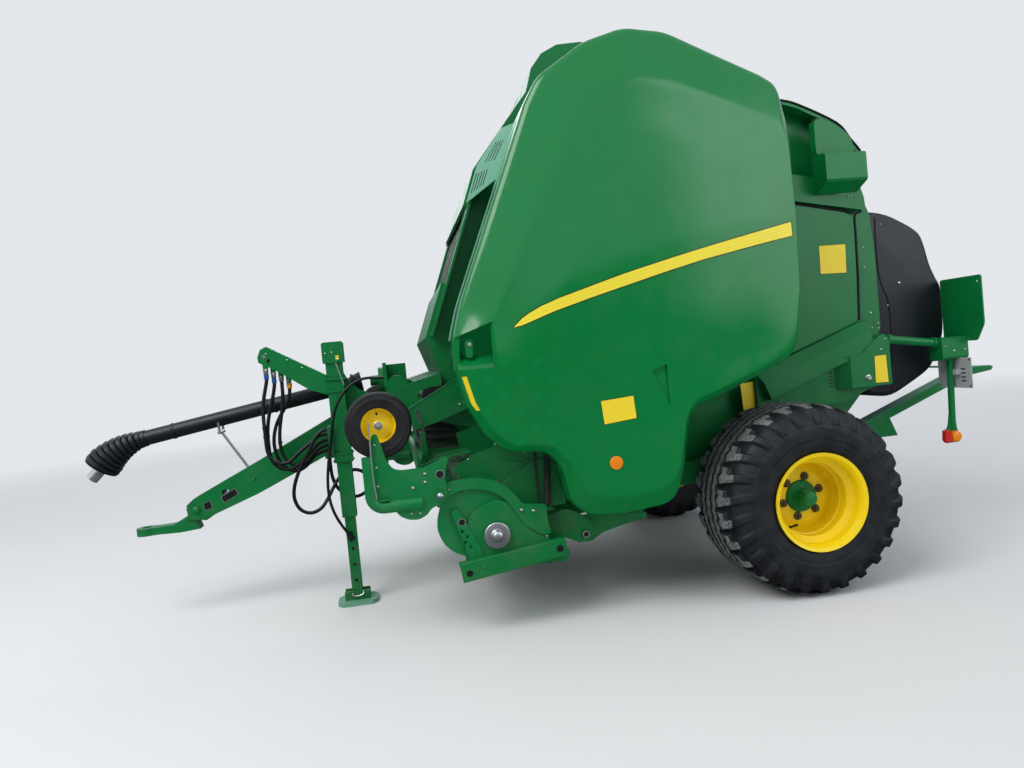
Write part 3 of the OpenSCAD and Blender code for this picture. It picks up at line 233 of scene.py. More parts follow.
def plated(name, colour, rough=0.34, amount=0.3, metallic=0.85):
    """Zinc or bare steel with spangle and brown stains."""
    n = Nodes(name)
    spangle = n.mask(n.voronoi(55), 0.0, 0.8, 0.78)
    base = n.mix(colour, spangle, 0.35, "MULTIPLY")
    stains = n.mask(n.noise(12, 8, 0.7), 0.5, 0.78)
    base = n.mix(base, RUST, n.maths("MULTIPLY", stains, amount))
    n.bump(n.noise(190, 3), 0.06, 0.001)
    return n.finish(base, n.maths("ADD", n.maths("MULTIPLY", stains, 0.3), rough), metallic)


def plastic(name, colour, pale, rough=0.4, grain=0.08):
    """Moulded plastic with a fine grain and a little bloom."""
    n = Nodes(name)
    cloud = n.mask(n.noise(6, 6), 0.4, 0.8)
    base = n.mix(colour, pale, n.maths("MULTIPLY", cloud, 0.4))
    n.bump(n.noise(420, 2), grain, 0.0008)
    return n.finish(base, n.maths("ADD", n.maths("MULTIPLY", cloud, 0.14), rough), specular=0.4)


def striped_foil(name):
    """Yellow foil with fine raised lines along it, in one direction over the whole stripe."""
    n = Nodes(name)
    split = n.node("ShaderNodeSeparateXYZ", Vector=n.place)
    along = n.maths("MULTIPLY", split.outputs["X"], 0.213)
    lines = n.maths("SINE", n.maths("MULTIPLY", n.maths("SUBTRACT", split.outputs["Z"], along), 420.0))
    fine = n.mask(lines, 0.72, 0.95)
    base = n.mix((0.93, 0.77, 0.05), (0.8, 0.62, 0.03), n.maths("MULTIPLY", fine, 0.8))
    base = n.mix(base, (0.8, 0.64, 0.04), n.maths("MULTIPLY", n.noise(30, 4), 0.3))
    n.bump(fine, 0.1, 0.0006)
    return n.finish(base, 0.3, specular=0.35)


GREEN = paint("green_paint", (0.0008, 0.165, 0.036), (0.0012, 0.19, 0.048), chip=0.012)
SHIELD_GREEN = paint("green_plastic", (0.0004, 0.182, 0.036), (0.0006, 0.196, 0.043), gloss=0.14, dust=0.06,
                     grain=0.012, drift_at=0.9, specular=0.5)
# pale green: a painted sky sheen on upward faces, with chips and dust
SHEEN_PAINTED_GREEN = paint("pale_green_painted_sheen", (0.14, 0.36, 0.24), (0.2, 0.42, 0.3), gloss=0.6, dust=0.1, chip=0.02, specular=0.15)
SKYLIT = paint("sky_lit_green", (0.13, 0.37, 0.24), (0.17, 0.42, 0.29), gloss=0.35, dust=0.05, grain=0.02, specular=0.3)
GALVANISED = plastic("galvanised", (0.44, 0.46, 0.47), (0.56, 0.58, 0.59), 0.5, 0.05)
YELLOW = paint("yellow_paint", (0.97, 0.7, 0.003), (0.93, 0.66, 0.004), chip=0.004, dust=0.08)
TYRE = rubber("tyre_rubber", (0.0085, 0.0105, 0.0135), (0.05, 0.052, 0.055), 13, 0.35)
TREAD = worn_tread("tyre_tread")
GAUGE_TYRE = rubber("gauge_tyre_rubber", (0.01, 0.011, 0.013), (0.04, 0.039, 0.037), 16, 0.35)
BELT = rubber("belt_rubber", (0.012, 0.012, 0.012), (0.07, 0.062, 0.045))
SEAL = rubber("seal_rubber", (0.006, 0.006, 0.007), (0.02, 0.02, 0.02))
HOSE_LOOK = plastic("hose_rubber", (0.007, 0.007, 0.008), (0.02, 0.02, 0.022), 0.34)
BLACK = plastic("black_plastic", (0.0075, 0.0095, 0.0145), (0.018, 0.021, 0.027), 0.36)
STEEL = plated("bright_steel", (0.62, 0.62, 0.62))
ZINC = plated("zinc", (0.56, 0.57, 0.58), 0.36, amount=0.25, metallic=0.92)
DARK_STEEL = plated("dark_steel", (0.055, 0.056, 0.06), 0.5, amount=0.25, metallic=0.35)
ORANGE = plastic("lamp_orange", (0.88, 0.24, 0.006), (0.82, 0.24, 0.015), 0.18)
RED = plastic("lamp_red", (0.6, 0.02, 0.015), (0.5, 0.02, 0.02), 0.18)
CAP_RED = plastic("cap_red", (0.5, 0.02, 0.015), (0.42, 0.03, 0.02), 0.35)
CAP_BLUE = plastic("cap_blue", (0.01, 0.08, 0.4), (0.02, 0.1, 0.42), 0.35)
CAP_YELLOW = plastic("cap_yellow", (0.85, 0.42, 0.01), (0.7, 0.36, 0.02), 0.35)
FOIL_YELLOW = plastic("foil_yellow", (0.93, 0.7, 0.02), (0.86, 0.66, 0.03), 0.35, 0.02)
# black for printed edges, and painted shade in holes, slits, slots and louvres
BLACK_FOIL_AND_SHADE = plastic("black_foil_and_painted_shade", (0.008, 0.008, 0.009), (0.016, 0.016, 0.016), 0.35, 0.02)
FOIL_GREEN = plastic("foil_green", (0.001, 0.205, 0.045), (0.0015, 0.215, 0.052), 0.15, 0.01)
STRIPE_LOOK = striped_foil("stripe_foil")

SLOT_LOOKS = {
    "green_paint": GREEN, "green_plastic": SHIELD_GREEN, "yellow_paint": YELLOW, "tyre_rubber": TYRE,
    "belt_rubber": BELT, "black_plastic": BLACK, "bright_steel": STEEL, "lamp_orange": ORANGE,
}


def dress(obj, material):
    """Gives an object one look in all its slots."""
    if not obj.data.materials:
        obj.data.materials.append(material)
    for slot in obj.material_slots:
        slot.material = material


for part in frame["record"]["subparts"]:
    dress(frame["nodes"][part["node"]], SLOT_LOOKS[part["material_slot"]])
for look, names in ((GAUGE_TYRE, ("gauge_tyre_left", "gauge_tyre_right")), (ZINC, ("plate_holders",)),
                    (DARK_STEEL, ("front_rollers", "rear_rollers")), (GREEN, ("bale_ramp",)),
                    (HOSE_LOOK, ("hose_1", "hose_2", "hose_3", "hose_4"))):
    for name in names:
        dress(frame["nodes"][name], look)


# Shapes that the pieces below are built from
SIDES = (-1, 1)
SIDE_WORDS = ((-1, "left"), (1, "right"))
UP = (0, 0, 1)


def outwards(mesh):
    """Turns each of a mesh's solids the right side out."""
    bm = bmesh.new()
    bm.from_mesh(mesh)
    bmesh.ops.recalc_face_normals(bm, faces=bm.faces)
    bm.to_mesh(mesh)
    bm.free()


def link_object(name, data):
    """A new object in the scene."""
    obj = bpy.data.objects.new(name, data)
    scene.collection.objects.link(obj)
    return obj


def piece(name, verts, faces, material, body, angle=40, stands_for=(), second=None, chosen=(), foil=False):
    """A mesh piece that rides on a body; the faces in chosen take the second material. A foil has one face only."""
    mesh = bpy.data.meshes.new(name)
    mesh.from_pydata([tuple(v) for v in verts], [], faces)
    mesh.validate()
    if not foil:
        outwards(mesh)
    mesh.shade_smooth()
    mesh.set_sharp_from_angle(angle=math.radians(angle))
    obj = link_object(name, mesh)
    mesh.materials.append(material)
    if second:
        mesh.materials.append(second)
        for i in chosen:
            mesh.polygons[i].material_index = 1
    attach(obj, body)
    if stands_for:
        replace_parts(obj, *stands_for)
    return obj


def skin(rows, count, flip=False, ring=False, capped=True):
    """Faces between rows of count points each; a ring's last row meets its first, other ends are capped."""
    faces = []
    for j in range(rows if ring else rows - 1):
        m = (j + 1) % rows
        for k in range(count):
            l = (k + 1) % count
            faces.append((j * count + k, j * count + l, m * count + l, m * count + k))
    if capped and not ring:
        faces.append(tuple(range(count - 1, -1, -1)))
        faces.append(tuple((rows - 1) * count + k for k in range(count)))
    return [f[::-1] for f in faces] if flip else faces


def circle(count, turn=0.0):
    """Sines and cosines of the points round a circle."""
    turns = [2 * math.pi * k / count + turn for k in range(count)]
    return [(math.cos(a), math.sin(a)) for a in turns]


class Build:
    """Collects small solids of one finish and body, and makes a single piece of them."""

    def __init__(self):
        self.verts = []
        self.faces = []

    def add(self, verts, faces):
        base = len(self.verts)
        self.verts += [Vector(v) for v in verts]
        self.faces += [tuple(base + i for i in f) for f in faces]
        return self

    def lathe(self, origin, axis, profile, sides=24, turn=0.0, ring=False):
        """profile lists radius and distance along the axis, both in millimetres; a ring's profile closes on itself."""
        axis = Vector(axis).normalized()
        side = axis.orthogonal().normalized()
        other = axis.cross(side)
        verts = [origin + (axis * h + (side * c + other * s) * r) / 1000
                 for r, h in profile for c, s in circle(sides, turn)]
        return self.add(verts, skin(len(profile), sides, ring=ring))

    def bolt(self, origin, axis, d=16, washer=True):
        """A hexagon head of that width over its flats on a washer."""
        if washer:
            self.lathe(origin, axis, [(d * 0.82, -1), (d * 0.82, 1.6), (d * 0.76, 2.4)], 20)
        return self.lathe(origin, axis, [(d * 0.58, 0), (d * 0.58, d * 0.5), (d * 0.5, d * 0.62)], 6, 0.3)

    def dome(self, origin, axis, d=16, h=6):
        return self.lathe(origin, axis, [(d / 2, -0.5), (d / 2, h * 0.25), (d * 0.42, h * 0.6), (d * 0.25, h * 0.9),
                                         (d * 0.08, h)], 20)

    def block(self, a, b, rim=1.5):
        """A block between two corners in millimetres from the axle, with chamfered upright edges."""
        (x0, x1), (y0, y1), (z0, z1) = (sorted(pair) for pair in zip(a, b))
        flat = [(x0 + rim, y0), (x1 - rim, y0), (x1, y0 + rim), (x1, y1 - rim), (x1 - rim, y1), (x0 + rim, y1),
                (x0, y1 - rim), (x0, y0 + rim)]
        return self.add([at(x, y, z) for z in (z0, z1) for x, y in flat], skin(2, 8))

    def plate(self, outline, y0, y1, rim=1.2):
        """A plate with its outline in X and Z and a small chamfer round its outer face at y0."""
        pts = wound(outline)
        sign = 1 if y0 < y1 else -1
        rows = [(inset(pts, rim), y0), (pts, y0 + sign * rim), (pts, y1)]
        return self.add([at(x, y, z) for row, y in rows for x, z in row], skin(3, len(pts), sign > 0))

    def tube(self, path, d, sides=10, closed=False):
        """A round bar along points in metres."""
        verts, side = [], None
        n = len(path)
        for i, p in enumerate(path):
            a = path[i - 1] if i or closed else path[0]
            b = path[(i + 1) % n] if i < n - 1 or closed else path[-1]
            t = (b - a).normalized()
            side = (t.orthogonal() if side is None else side - t * side.dot(t)).normalized()
            other = t.cross(side)
            verts += [p + (side * c + other * s) * d / 2000 for c, s in circle(sides)]
        return self.add(verts, skin(n, sides, ring=closed))

    def make(self, name, material, body, angle=35, stands_for=()):
        return piece(name, self.verts, self.faces, material, body, angle, stands_for)


def both(name, material, body, fill, angle=35):
    """One piece of what fill adds to a build on each side."""
    made = Build()
    for side in SIDES:
        fill(made, side)
    return made.make(name, material, body, angle)


def wound(pts):
    """The same outline, counter-clockwise."""
    area = sum(a[0] * b[1] - b[0] * a[1] for a, b in zip(pts, pts[1:] + pts[:1]))
    return pts if area > 0 else pts[::-1]


def edges_of(loop):
    """The pairs of neighbours round a closed outline."""
    return list(zip(loop, loop[1:] + loop[:1]))


def encloses(loop, x, z):
    """Whether a place lies inside a closed outline of vectors."""
    hit = False
    for a, b in edges_of(loop):
        if (a.y > z) != (b.y > z) and x < (b.x - a.x) * (z - a.y) / (b.y - a.y) + a.x:
            hit = not hit
    return hit


def off_line(p, a, b):
    """The vector to p from the nearest point of a line between two others."""
    t = min(max((p - a).dot(b - a) / max((b - a).length_squared, 1), 0), 1)
    return p - a - (b - a) * t


def inset(pts, d):
    """A closed outline, counter-clockwise, moved inwards by d."""
    out = []
    for i, p in enumerate(pts):
        a, b = Vector(pts[i - 1]), Vector(pts[(i + 1) % len(pts)])
        u, v = (Vector(p) - a).normalized(), (b - Vector(p)).normalized()
        n = Vector((-u.y, u.x)) + Vector((-v.y, v.x))
        n = n / max(n.length_squared / 2, 0.5)
        out.append((p[0] + n.x * d, p[1] + n.y * d))
    return out


def smooth_path(points, steps=4):
    """More points along a route, on a curve through each of its own."""
    out = []
    for i in range(len(points) - 1):
        p0, p1, p2 = points[max(i - 1, 0)], points[i], points[i + 1]
        p3 = points[min(i + 2, len(points) - 1)]
        for k in range(steps):
            t = k / steps
            out.append(0.5 * (2 * p1 + (p2 - p0) * t + (2 * p0 - 5 * p1 + 4 * p2 - p3) * t * t
                              + (3 * p1 - p0 - 3 * p2 + p3) * t ** 3))
    return out + [points[-1]]


def arc(cx, cz, r, a0, a1, steps=8):
    """Points in X and Z on an arc, angles in degrees from +X."""
    turns = [math.radians(a0 + (a1 - a0) * i / steps) for i in range(steps + 1)]
    return [(cx + r * math.cos(a), cz + r * math.sin(a)) for a in turns]


# Hoses and the lamp cable: their routes are those of the solids
HOSE_D = 0.020
CABLE_D = 0.016
HOSES = (
    ("hose_1", -205, ((-2622, 1352), (-2622, 1300), (-2636, 1244), (-2650, 1188), (-2658, 1130), (-2661, 1072),
                      (-2661, 1014), (-2661, 956), (-2658, 905), (-2640, 860), (-2594, 831), (-2541, 841),
                      (-2490, 882), (-2440, 918), (-2394, 951), (-2370, 962), (-2345, 966), (-2325, 966))),
    ("hose_2", -182, ((-2586, 1330), (-2586, 1275), (-2598, 1218), (-2614, 1162), (-2632, 1106), (-2644, 1050),
                      (-2651, 992), (-2652, 934), (-2649, 880), (-2632, 832), (-2590, 798), (-2537, 796),
                      (-2488, 824), (-2444, 862), (-2402, 902), (-2374, 922), (-2347, 931), (-2325, 931))),
    ("hose_3", -159, ((-2550, 1307), (-2550, 1255), (-2552, 1200), (-2560, 1144), (-2572, 1088), (-2584, 1032),
                      (-2592, 975), (-2592, 918), (-2578, 862), (-2542, 818), (-2490, 806), (-2443, 832),
                      (-2408, 868), (-2382, 888), (-2352, 900), (-2325, 900))),
    ("hose_4", -136, ((-2514, 1285), (-2514, 1235), (-2524, 1182), (-2550, 1134), (-2582, 1088), (-2608, 1038),
                      (-2624, 984), (-2629, 928), (-2620, 872), (-2600, 822), (-2560, 784), (-2506, 776),
                      (-2460, 802), (-2424, 840), (-2394, 858), (-2360, 868), (-2325, 868))),
)
LOOP = ((-2325, -228, 992), (-2350, -228, 992), (-2386, -228, 964), (-2418, -228, 918), (-2450, -228, 866),
        (-2484, -228, 810), (-2514, -228, 750), (-2535, -228, 688), (-2538, -226, 624), (-2512, -220, 566),
        (-2460, -210, 540), (-2406, -194, 556), (-2366, -168, 602), (-2336, -138, 650), (-2304, -112, 696),
        (-2258, -102, 730), (-2202, -98, 738), (-2152, -98, 712), (-2132, -98, 656), (-2158, -98, 604),
        (-2212, -98, 584), (-2268, -96, 602), (-2312, -94, 646), (-2334, -92, 704), (-2339, -92, 762),
        (-2339, -92, 820))
CABLE = ((-1990, 1250), (-2030, 1250), (-2075, 1256), (-2120, 1250), (-2162, 1232), (-2200, 1204), (-2232, 1168),
         (-2258, 1126), (-2277, 1080), (-2290, 1032), (-2301, 982), (-2311, 932), (-2321, 882), (-2331, 832),
         (-2340, 782), (-2347, 732), (-2351, 682), (-2351, 632), (-2345, 583), (-2333, 535), (-2315, 489),
         (-2292, 446), (-2272, 412))


def cord(name, points, diameter, material, body):
    """A round cord over the solid of that name."""
    path = smooth_path(points)
    curve = bpy.data.curves.new(name + "_line", "CURVE")
    curve.dimensions = "3D"
    curve.bevel_depth = diameter / 2
    curve.bevel_resolution = 4
    curve.use_fill_caps = True
    spline = curve.splines.new("POLY")
    spline.points.add(len(path) - 1)
    for point, place in zip(spline.points, path):
        point.co = (*place, 1)
    obj = link_object(name + "_cord", curve)
    curve.materials.append(material)
    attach(obj, body)
    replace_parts(obj, name)


for hose, y, route in HOSES:
    cord(hose, [at(x, y, z) for x, z in route], HOSE_D, HOSE_LOOK, "chassis")
cord("hose_loop", [at(*p) for p in LOOP], HOSE_D, HOSE_LOOK, "chassis")
cord("lamp_cable", [at(x, -252, z) for x, z in CABLE], CABLE_D, HOSE_LOOK, "chassis")


# Tyres: a ring of lugs on each shoulder, wavy ribs between them and a bulged side
TYRE_R = 466
LUGS = 26
LUG_STEPS = 22
LUG_H = 17
ROW_STEP = 6.5
WORN_TO = 218  # millimetres over the tread from its middle, as in the next two
LUGS_FADE = (238, 330)
SIDE_RINGS = ((300, 306), (372, 378))
RING_DEPTH = 2.2
TYRE_PROFILE = ((0, 466), (60, 465.5), (110, 464), (150, 461), (182, 456), (208, 447), (228, 431), (241, 408),
                (247, 380), (249.5, 350), (249, 318), (247, 288), (243, 262), (238, 244), (232, 236), (229, 226))


def smoothstep(a, b, x):
    """0 up to a, 1 from b, and a soft rise between them."""
    t = min(max((x - a) / (b - a), 0), 1)
    return t * t * (3 - 2 * t)


def window(a, b, soft, x):
    """1 between a and b, 0 outside them, with soft edges."""
    return smoothstep(a - soft, a + soft, x) * (1 - smoothstep(b - soft, b + soft, x))


def lug_mask(u, t):
    """How much of the tread's height stands at u of one lug's pitch and t millimetres from the middle."""
    wave = 7 * math.sin(4 * math.pi * u)
    if t < 94 + wave:
        groove = max(window(25 + wave, 37 + wave, 2.5, t), window(82 + wave, 96 + wave, 2.5, t))
        return 1 - groove
    slant = 0.0022 * (t - 95)
    u = (u - slant) % 1.0
    inner = window(0.04, 0.9 - slant, 0.025, u) * window(95 + wave, 164 - 14 * u, 3, t)
    outer = window(0.04, 0.46, 0.03, u) * smoothstep(130, 140, t)
    return max(inner, outer)


def tyre(name, side, body):
    """The tyre's skin: its profile turned round the axle, sunk between the lugs, with two thin rings on the side."""
    half = [Vector(p) for p in TYRE_PROFILE]
    line = smooth_path(half, 3)
    line = [p for i, p in enumerate(line) if i == 0 or (p - line[i - 1]).length > 0.1]
    fine = [line[0]]
    for a, b in zip(line, line[1:]):
        cuts = max(1, round((b - a).length / ROW_STEP))
        fine += [a + (b - a) * k / cuts for k in range(1, cuts + 1)]
    far = [0.0]
    for a, b in zip(fine, fine[1:]):
        far.append(far[-1] + (b - a).length)
    rows = [(-fine[i].x, fine[i].y, far[i], i) for i in range(len(fine) - 1, 0, -1)]
    rows += [(fine[i].x, fine[i].y, far[i], i) for i in range(len(fine))]
    normals = []
    for y, r, t, i in rows:
        a, b = fine[max(i - 1, 0)], fine[min(i + 1, len(fine) - 1)]
        d = (b - a).normalized()
        normals.append((-d.y * (1 if y > 0 else -1) if y else 0, d.x))
    count = LUGS * LUG_STEPS
    verts, tops = [], []
    for (y, r, t, i), n in zip(rows, normals):
        fade = 1 - smoothstep(*LUGS_FADE, t)
        for k in range(count):
            mask = lug_mask((k / LUG_STEPS + (0.5 if y > 0 else 0)) % 1.0, t)
            depth = LUG_H * fade * (1 - mask)
            if t > LUGS_FADE[0]:
                depth += sum(RING_DEPTH * window(*ring, 2, t) for ring in SIDE_RINGS)
            a = -2 * math.pi * k / count * side
            rr = r - n[1] * depth
            yy = y - n[0] * depth
            verts.append(at(rr * math.sin(a), side * (WHEEL_Y * 1000 + yy), TYRE_R + rr * math.cos(a)))
            tops.append(mask > 0.8 and t < WORN_TO)
    faces = skin(len(rows), count, True, capped=False)
    worn = [i for i, f in enumerate(faces) if all(tops[v] for v in f)]
    return piece(name + "_rubber", verts, faces, TYRE, body, 60, (name,), TREAD, worn)


for side, word in SIDE_WORDS:
    tyre("tyre_" + word, side, "wheel_" + word)
# Side shields: the moulded skin over the solid, with its rows as in the solid
SHIELD_ROWS = (
    (-1662, 1400, -1600, 1385), (-1613, 1556, -1484, 1470), (-1391, 2070, -1201, 1988), (-1234, 2434, -1001, 2334),
    (-1160, 2559, -935, 2420), (-929, 2709, -860, 2480), (-732, 2769, -716, 2515), (-530, 2743, -551, 2486),
    (-300, 2632, -300, 2378), (-74, 2526, -76, 2276), (4, 2477, -18, 2242), (38, 2294, 8, 2190),
    (43, 1833, 16, 1833), (33, 1496, 6, 1490), (0, 1215, -33, 1255), (-60, 1150, -88, 1190),
    (-206, 1092, -215, 1130), (-418, 1013, -430, 1052), (-537, 977, -562, 1012), (-577, 929, -610, 948),
    (-623, 709, -662, 718), (-665, 576, -706, 640), (-724, 528, -767, 609), (-947, 509, -930, 598),
    (-1106, 523, -1064, 614), (-1186, 589, -1135, 665), (-1213, 752, -1178, 775), (-1275, 843, -1262, 880),
    (-1465, 864, -1450, 902), (-1557, 953, -1527, 977), (-1626, 1093, -1592, 1108), (-1661, 1246, -1625, 1252))
SHIELD_Y = 1190
SHIELD_IN = 960
SHIELD_BEVEL = 60
SHIELD_MID = Vector((-800, 1600))
NET_STEP = 26
BULGE = 24
BULGE_RIM = 260
BULGE_ABOVE, BULGE_BELOW = 760, 620
CREASE_R = 28
CREASE = ((-1500, 1500), (-1330, 1535), (-1170, 1590), (-973, 1655), (-725, 1712), (-340, 1809), (-29, 1852),
          (60, 1858))


def turned(pts):
    """Which points of an outline are real corners."""
    marks = []
    for i, p in enumerate(pts):
        u, v = (p - pts[i - 1]).normalized(), (pts[(i + 1) % len(pts)] - p).normalized()
        marks.append(abs(u.cross(v)) > 0.2)
    return marks


def rounded(pts, marks, d=45, steps=6):
    """Marked corners become arcs that start d along their edges; the others stay single points."""
    out = []
    for i, b in enumerate(pts):
        if not marks[i]:
            out.append(b)
            continue
        a, c = pts[i - 1], pts[(i + 1) % len(pts)]
        u = b + (a - b).normalized() * min(d, (a - b).length * 0.4)
        v = b + (c - b).normalized() * min(d, (c - b).length * 0.4)
        for k in range(steps + 1):
            t = k / steps
            out.append(u * (1 - t) ** 2 + b * 2 * t * (1 - t) + v * t * t)
    return out


RIM_ROW = [Vector(r[:2]) for r in SHIELD_ROWS]
FACE_ROW = [Vector(r[2:]) for r in SHIELD_ROWS]
MARKS = [a or b for a, b in zip(turned(RIM_ROW), turned(FACE_ROW))]
RIM_LINE = rounded(RIM_ROW, MARKS)
FACE_LINE = rounded(FACE_ROW, MARKS)


def bulge(x, z):
    """How far the outer face stands out at a place: a soft ridge along the crease, less towards the rims."""
    best, side = 1e9, 1
    p = Vector((x, z))
    for a, b in zip(CREASE, CREASE[1:]):
        a, b = Vector(a), Vector(b)
        far = off_line(p, a, b).length
        if far < best:
            best, side = far, (1 if (b - a).cross(p - a) > 0 else -1)
    span = BULGE_ABOVE if side > 0 else BULGE_BELOW
    ridge = max(0, 1 - (math.sqrt(best ** 2 + CREASE_R ** 2) - CREASE_R) / span)
    near = min(off_line(p, a, b).length for a, b in edges_of(FACE_LINE))
    return BULGE * ridge * smoothstep(0, BULGE_RIM, near)


def shield_point(i, k, y, c=1.0):
    """A point k of the way from the rim's line to the face's, drawn towards the middle by c."""
    p = RIM_LINE[i] * (1 - k) + FACE_LINE[i] * k
    q = SHIELD_MID + (p - SHIELD_MID) * c
    return (q.x, y, q.y)


def shield_skin():
    """Verts in millimetres for the left side and faces; outside first, then the turned-in rim and the inside."""
    n = len(RIM_LINE)
    rings = []
    s = SHIELD_BEVEL
    soft = 0.16
    for j in range(6):
        t = j / 5
        k = (1 + soft) * (1 - t) ** 2 + 2 * t * (1 - t) + (1 - soft) * t * t
        drop = soft * s * t * t
        rings.append((k, -SHIELD_Y + drop, 1.0))
    for k in (0.66, 0.48, 0.3):
        rings.append((k, -SHIELD_Y + s * (1 - k), 1.0))
    for j in range(6):
        t = j / 5
        k = soft * (1 - t) ** 2
        y = -SHIELD_Y + (s * (1 - soft)) * (1 - t) ** 2 + 2 * t * (1 - t) * s + (s + 26) * t * t
        rings.append((k, y, 1.0))
    rings += [(0, -1060, 1.0), (0, -SHIELD_IN - 6, 1.0), (0, -SHIELD_IN, 0.997), (0, -SHIELD_IN, 0.988),
              (0, -SHIELD_IN - 6, 0.985), (0, -SHIELD_Y + s + 34, 0.985), (0.04, -SHIELD_Y + s + 14, 0.985),
              (1.0, -SHIELD_Y + 14, 0.985)]
    verts = [shield_point(i, k, y, c) for k, y, c in rings for i in range(n)]
    faces = skin(len(rings), n, True, capped=False)
    faces.append(tuple((len(rings) - 1) * n + i for i in range(n - 1, -1, -1)))
    # the outer face as a fine net
    edge = [Vector(shield_point(i, rings[0][0], 0)).xz for i in range(n)]
    net = list(edge)
    for gx in range(-1640, 60, NET_STEP):
        for gz in range(560, 2560, NET_STEP):
            p = Vector((gx, gz))
            if encloses(edge, gx, gz) and min(off_line(p, a, b).length_squared for a, b in edges_of(edge)) > 120:
                net.append(p)
    ties = [(i, (i + 1) % n) for i in range(n)]
    out = delaunay_2d_cdt(net, ties, [tuple(range(n))], 1, 0.01)
    index = []
    for place, old in zip(out[0], out[3]):
        if old[0] < n:
            index.append(old[0])
        else:
            index.append(len(verts))
            verts.append((place.x, -SHIELD_Y - bulge(place.x, place.y), place.y))
    for f in out[2]:
        ids = [index[i] for i in f]
        a, b, c = (Vector(verts[i]) for i in ids[:3])
        if (b - a).cross(c - a).y > 0:
            ids = ids[::-1]
        faces.append(tuple(ids))
    return verts, faces


SHIELD_SKIN = shield_skin()


def prism(outline, lo, hi, upright):
    """A cutter: an outline in X and Y between two heights, or in X and Z between two depths."""
    verts = [(a, b, h) if upright else (a, h, b) for h in (lo, hi) for a, b in outline]
    return verts, skin(2, len(outline))


def closed_mesh(name, verts, faces):
    """An object whose faces all look outwards."""
    mesh = bpy.data.meshes.new(name)
    mesh.from_pydata(verts, [], faces)
    outwards(mesh)
    return link_object(name, mesh)


def shield(side, node, body):
    """The skin with the latch's scoop and a small wedge cut into it."""
    verts, faces = SHIELD_SKIN
    obj = closed_mesh(node + "_skin", [at(x, -side * y, z) for x, y, z in verts],
                      faces if side < 0 else [f[::-1] for f in faces])
    obj.data.materials.append(SHIELD_GREEN)
    scoop = [(-1760, -1240), (-1476, -1240), (-1476, -1196), (-1492, -1176), (-1560, -1138), (-1760, -1116)]
    verts, faces = prism(scoop, 1256, 1445, True)
    sloping = [(x, y, z if z < 1300 else 1402 + (x + 1660) * 0.33) for x, y, z in verts]
    knives = []
    for cv, cf in ((sloping, faces), prism([(-765, 1168), (-690, 1192), (-690, 1000)], -1240, -1181, False)):
        knives.append(closed_mesh("cutter", [at(x, -side * y, z) for x, y, z in cv], cf))
        step = obj.modifiers.new("recess", "BOOLEAN")
        step.operation = "DIFFERENCE"
        step.solver = "EXACT"
        step.object = knives[-1]
    bpy.context.view_layer.update()
    mesh = bpy.data.meshes.new_from_object(obj.evaluated_get(bpy.context.evaluated_depsgraph_get()))
    obj.modifiers.clear()
    obj.data = mesh
    for knife in knives:
        bpy.data.objects.remove(knife)
    mesh.shade_smooth()
    mesh.set_sharp_from_angle(angle=math.radians(32))
    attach(obj, body)


FOIL_EDGE_STEP = 22
FOIL_NET_STEP = 24
FOIL_NET_START = 11
FOIL_NET_CLEAR = 8


def ribbon(name, outline, side, body, material, lift=0.7, rim=None, rim_width=0, at_y=None):
    """A thin foil on a shield's face, or on a flat wall at at_y, with its outline in X and Z."""
    pts = wound([Vector(p) for p in outline])
    dense = []
    for a, b in edges_of(pts):
        cuts = max(1, int((b - a).length / FOIL_EDGE_STEP))
        dense += [a + (b - a) * k / cuts for k in range(cuts)]
    n = len(dense)
    inner = [Vector(p) for p in inset([tuple(p) for p in dense], rim_width)] if rim else []
    net = dense + inner
    lo = Vector((min(p.x for p in dense), min(p.y for p in dense)))
    hi = Vector((max(p.x for p in dense), max(p.y for p in dense)))
    loop = inner or dense
    gx = lo.x + FOIL_NET_START
    while gx < hi.x:
        gz = lo.y + FOIL_NET_START
        while gz < hi.y:
            if encloses(loop, gx, gz) and min((Vector((gx, gz)) - p).length for p in loop) > FOIL_NET_CLEAR:
                net.append(Vector((gx, gz)))
            gz += FOIL_NET_STEP
        gx += FOIL_NET_STEP
    ties = [(i, (i + 1) % n) for i in range(n)] + [(n + i, n + (i + 1) % n) for i in range(len(inner))]
    out = delaunay_2d_cdt(net, ties, [tuple(range(n))], 1, 0.01)
    verts = [at(p.x, side * (lift + (SHIELD_Y + bulge(p.x, p.y) if at_y is None else at_y)), p.y) for p in out[0]]
    faces, chosen = [], []
    for f in out[2]:
        a, b, c = (out[0][i] for i in f[:3])
        if rim:
            mid = sum((out[0][i] for i in f), Vector((0, 0))) / len(f)
            if not encloses(inner, mid.x, mid.y):
                chosen.append(len(faces))
        faces.append(tuple(f) if ((b - a).cross(c - a) > 0) == (side < 0) else tuple(f)[::-1])
    return piece(name, verts, faces, material, body, 60, (), rim, chosen, True)


STRIPE = ((-1395, 1420), (-1375, 1443), (-1350, 1465), (-1310, 1488), (-1260, 1511), (-1175, 1540), (-1077, 1567),
          (-979, 1594), (-867, 1624), (-754, 1651), (-603, 1686), (-437, 1722), (-230, 1764), (-11, 1808),
          (-9, 1734), (-92, 1721), (-249, 1694), (-481, 1652), (-672, 1609), (-860, 1563), (-1034, 1520),
          (-1192, 1478), (-1290, 1446), (-1350, 1426))
SQUARES = ((-1450, 1277), (-1302, 1263), (-1526, 1211), (-1380, 1196), (-1232, 1181), (-1461, 1133), (-1313, 1118),
           (-1538, 1065), (-1395, 1049), (-1246, 1033), (-1472, 987), (-1328, 971), (-1405, 912), (-1260, 896))
SQUARE_HALF = 17
HINGE_Y, HINGE_Z = 780, 2580


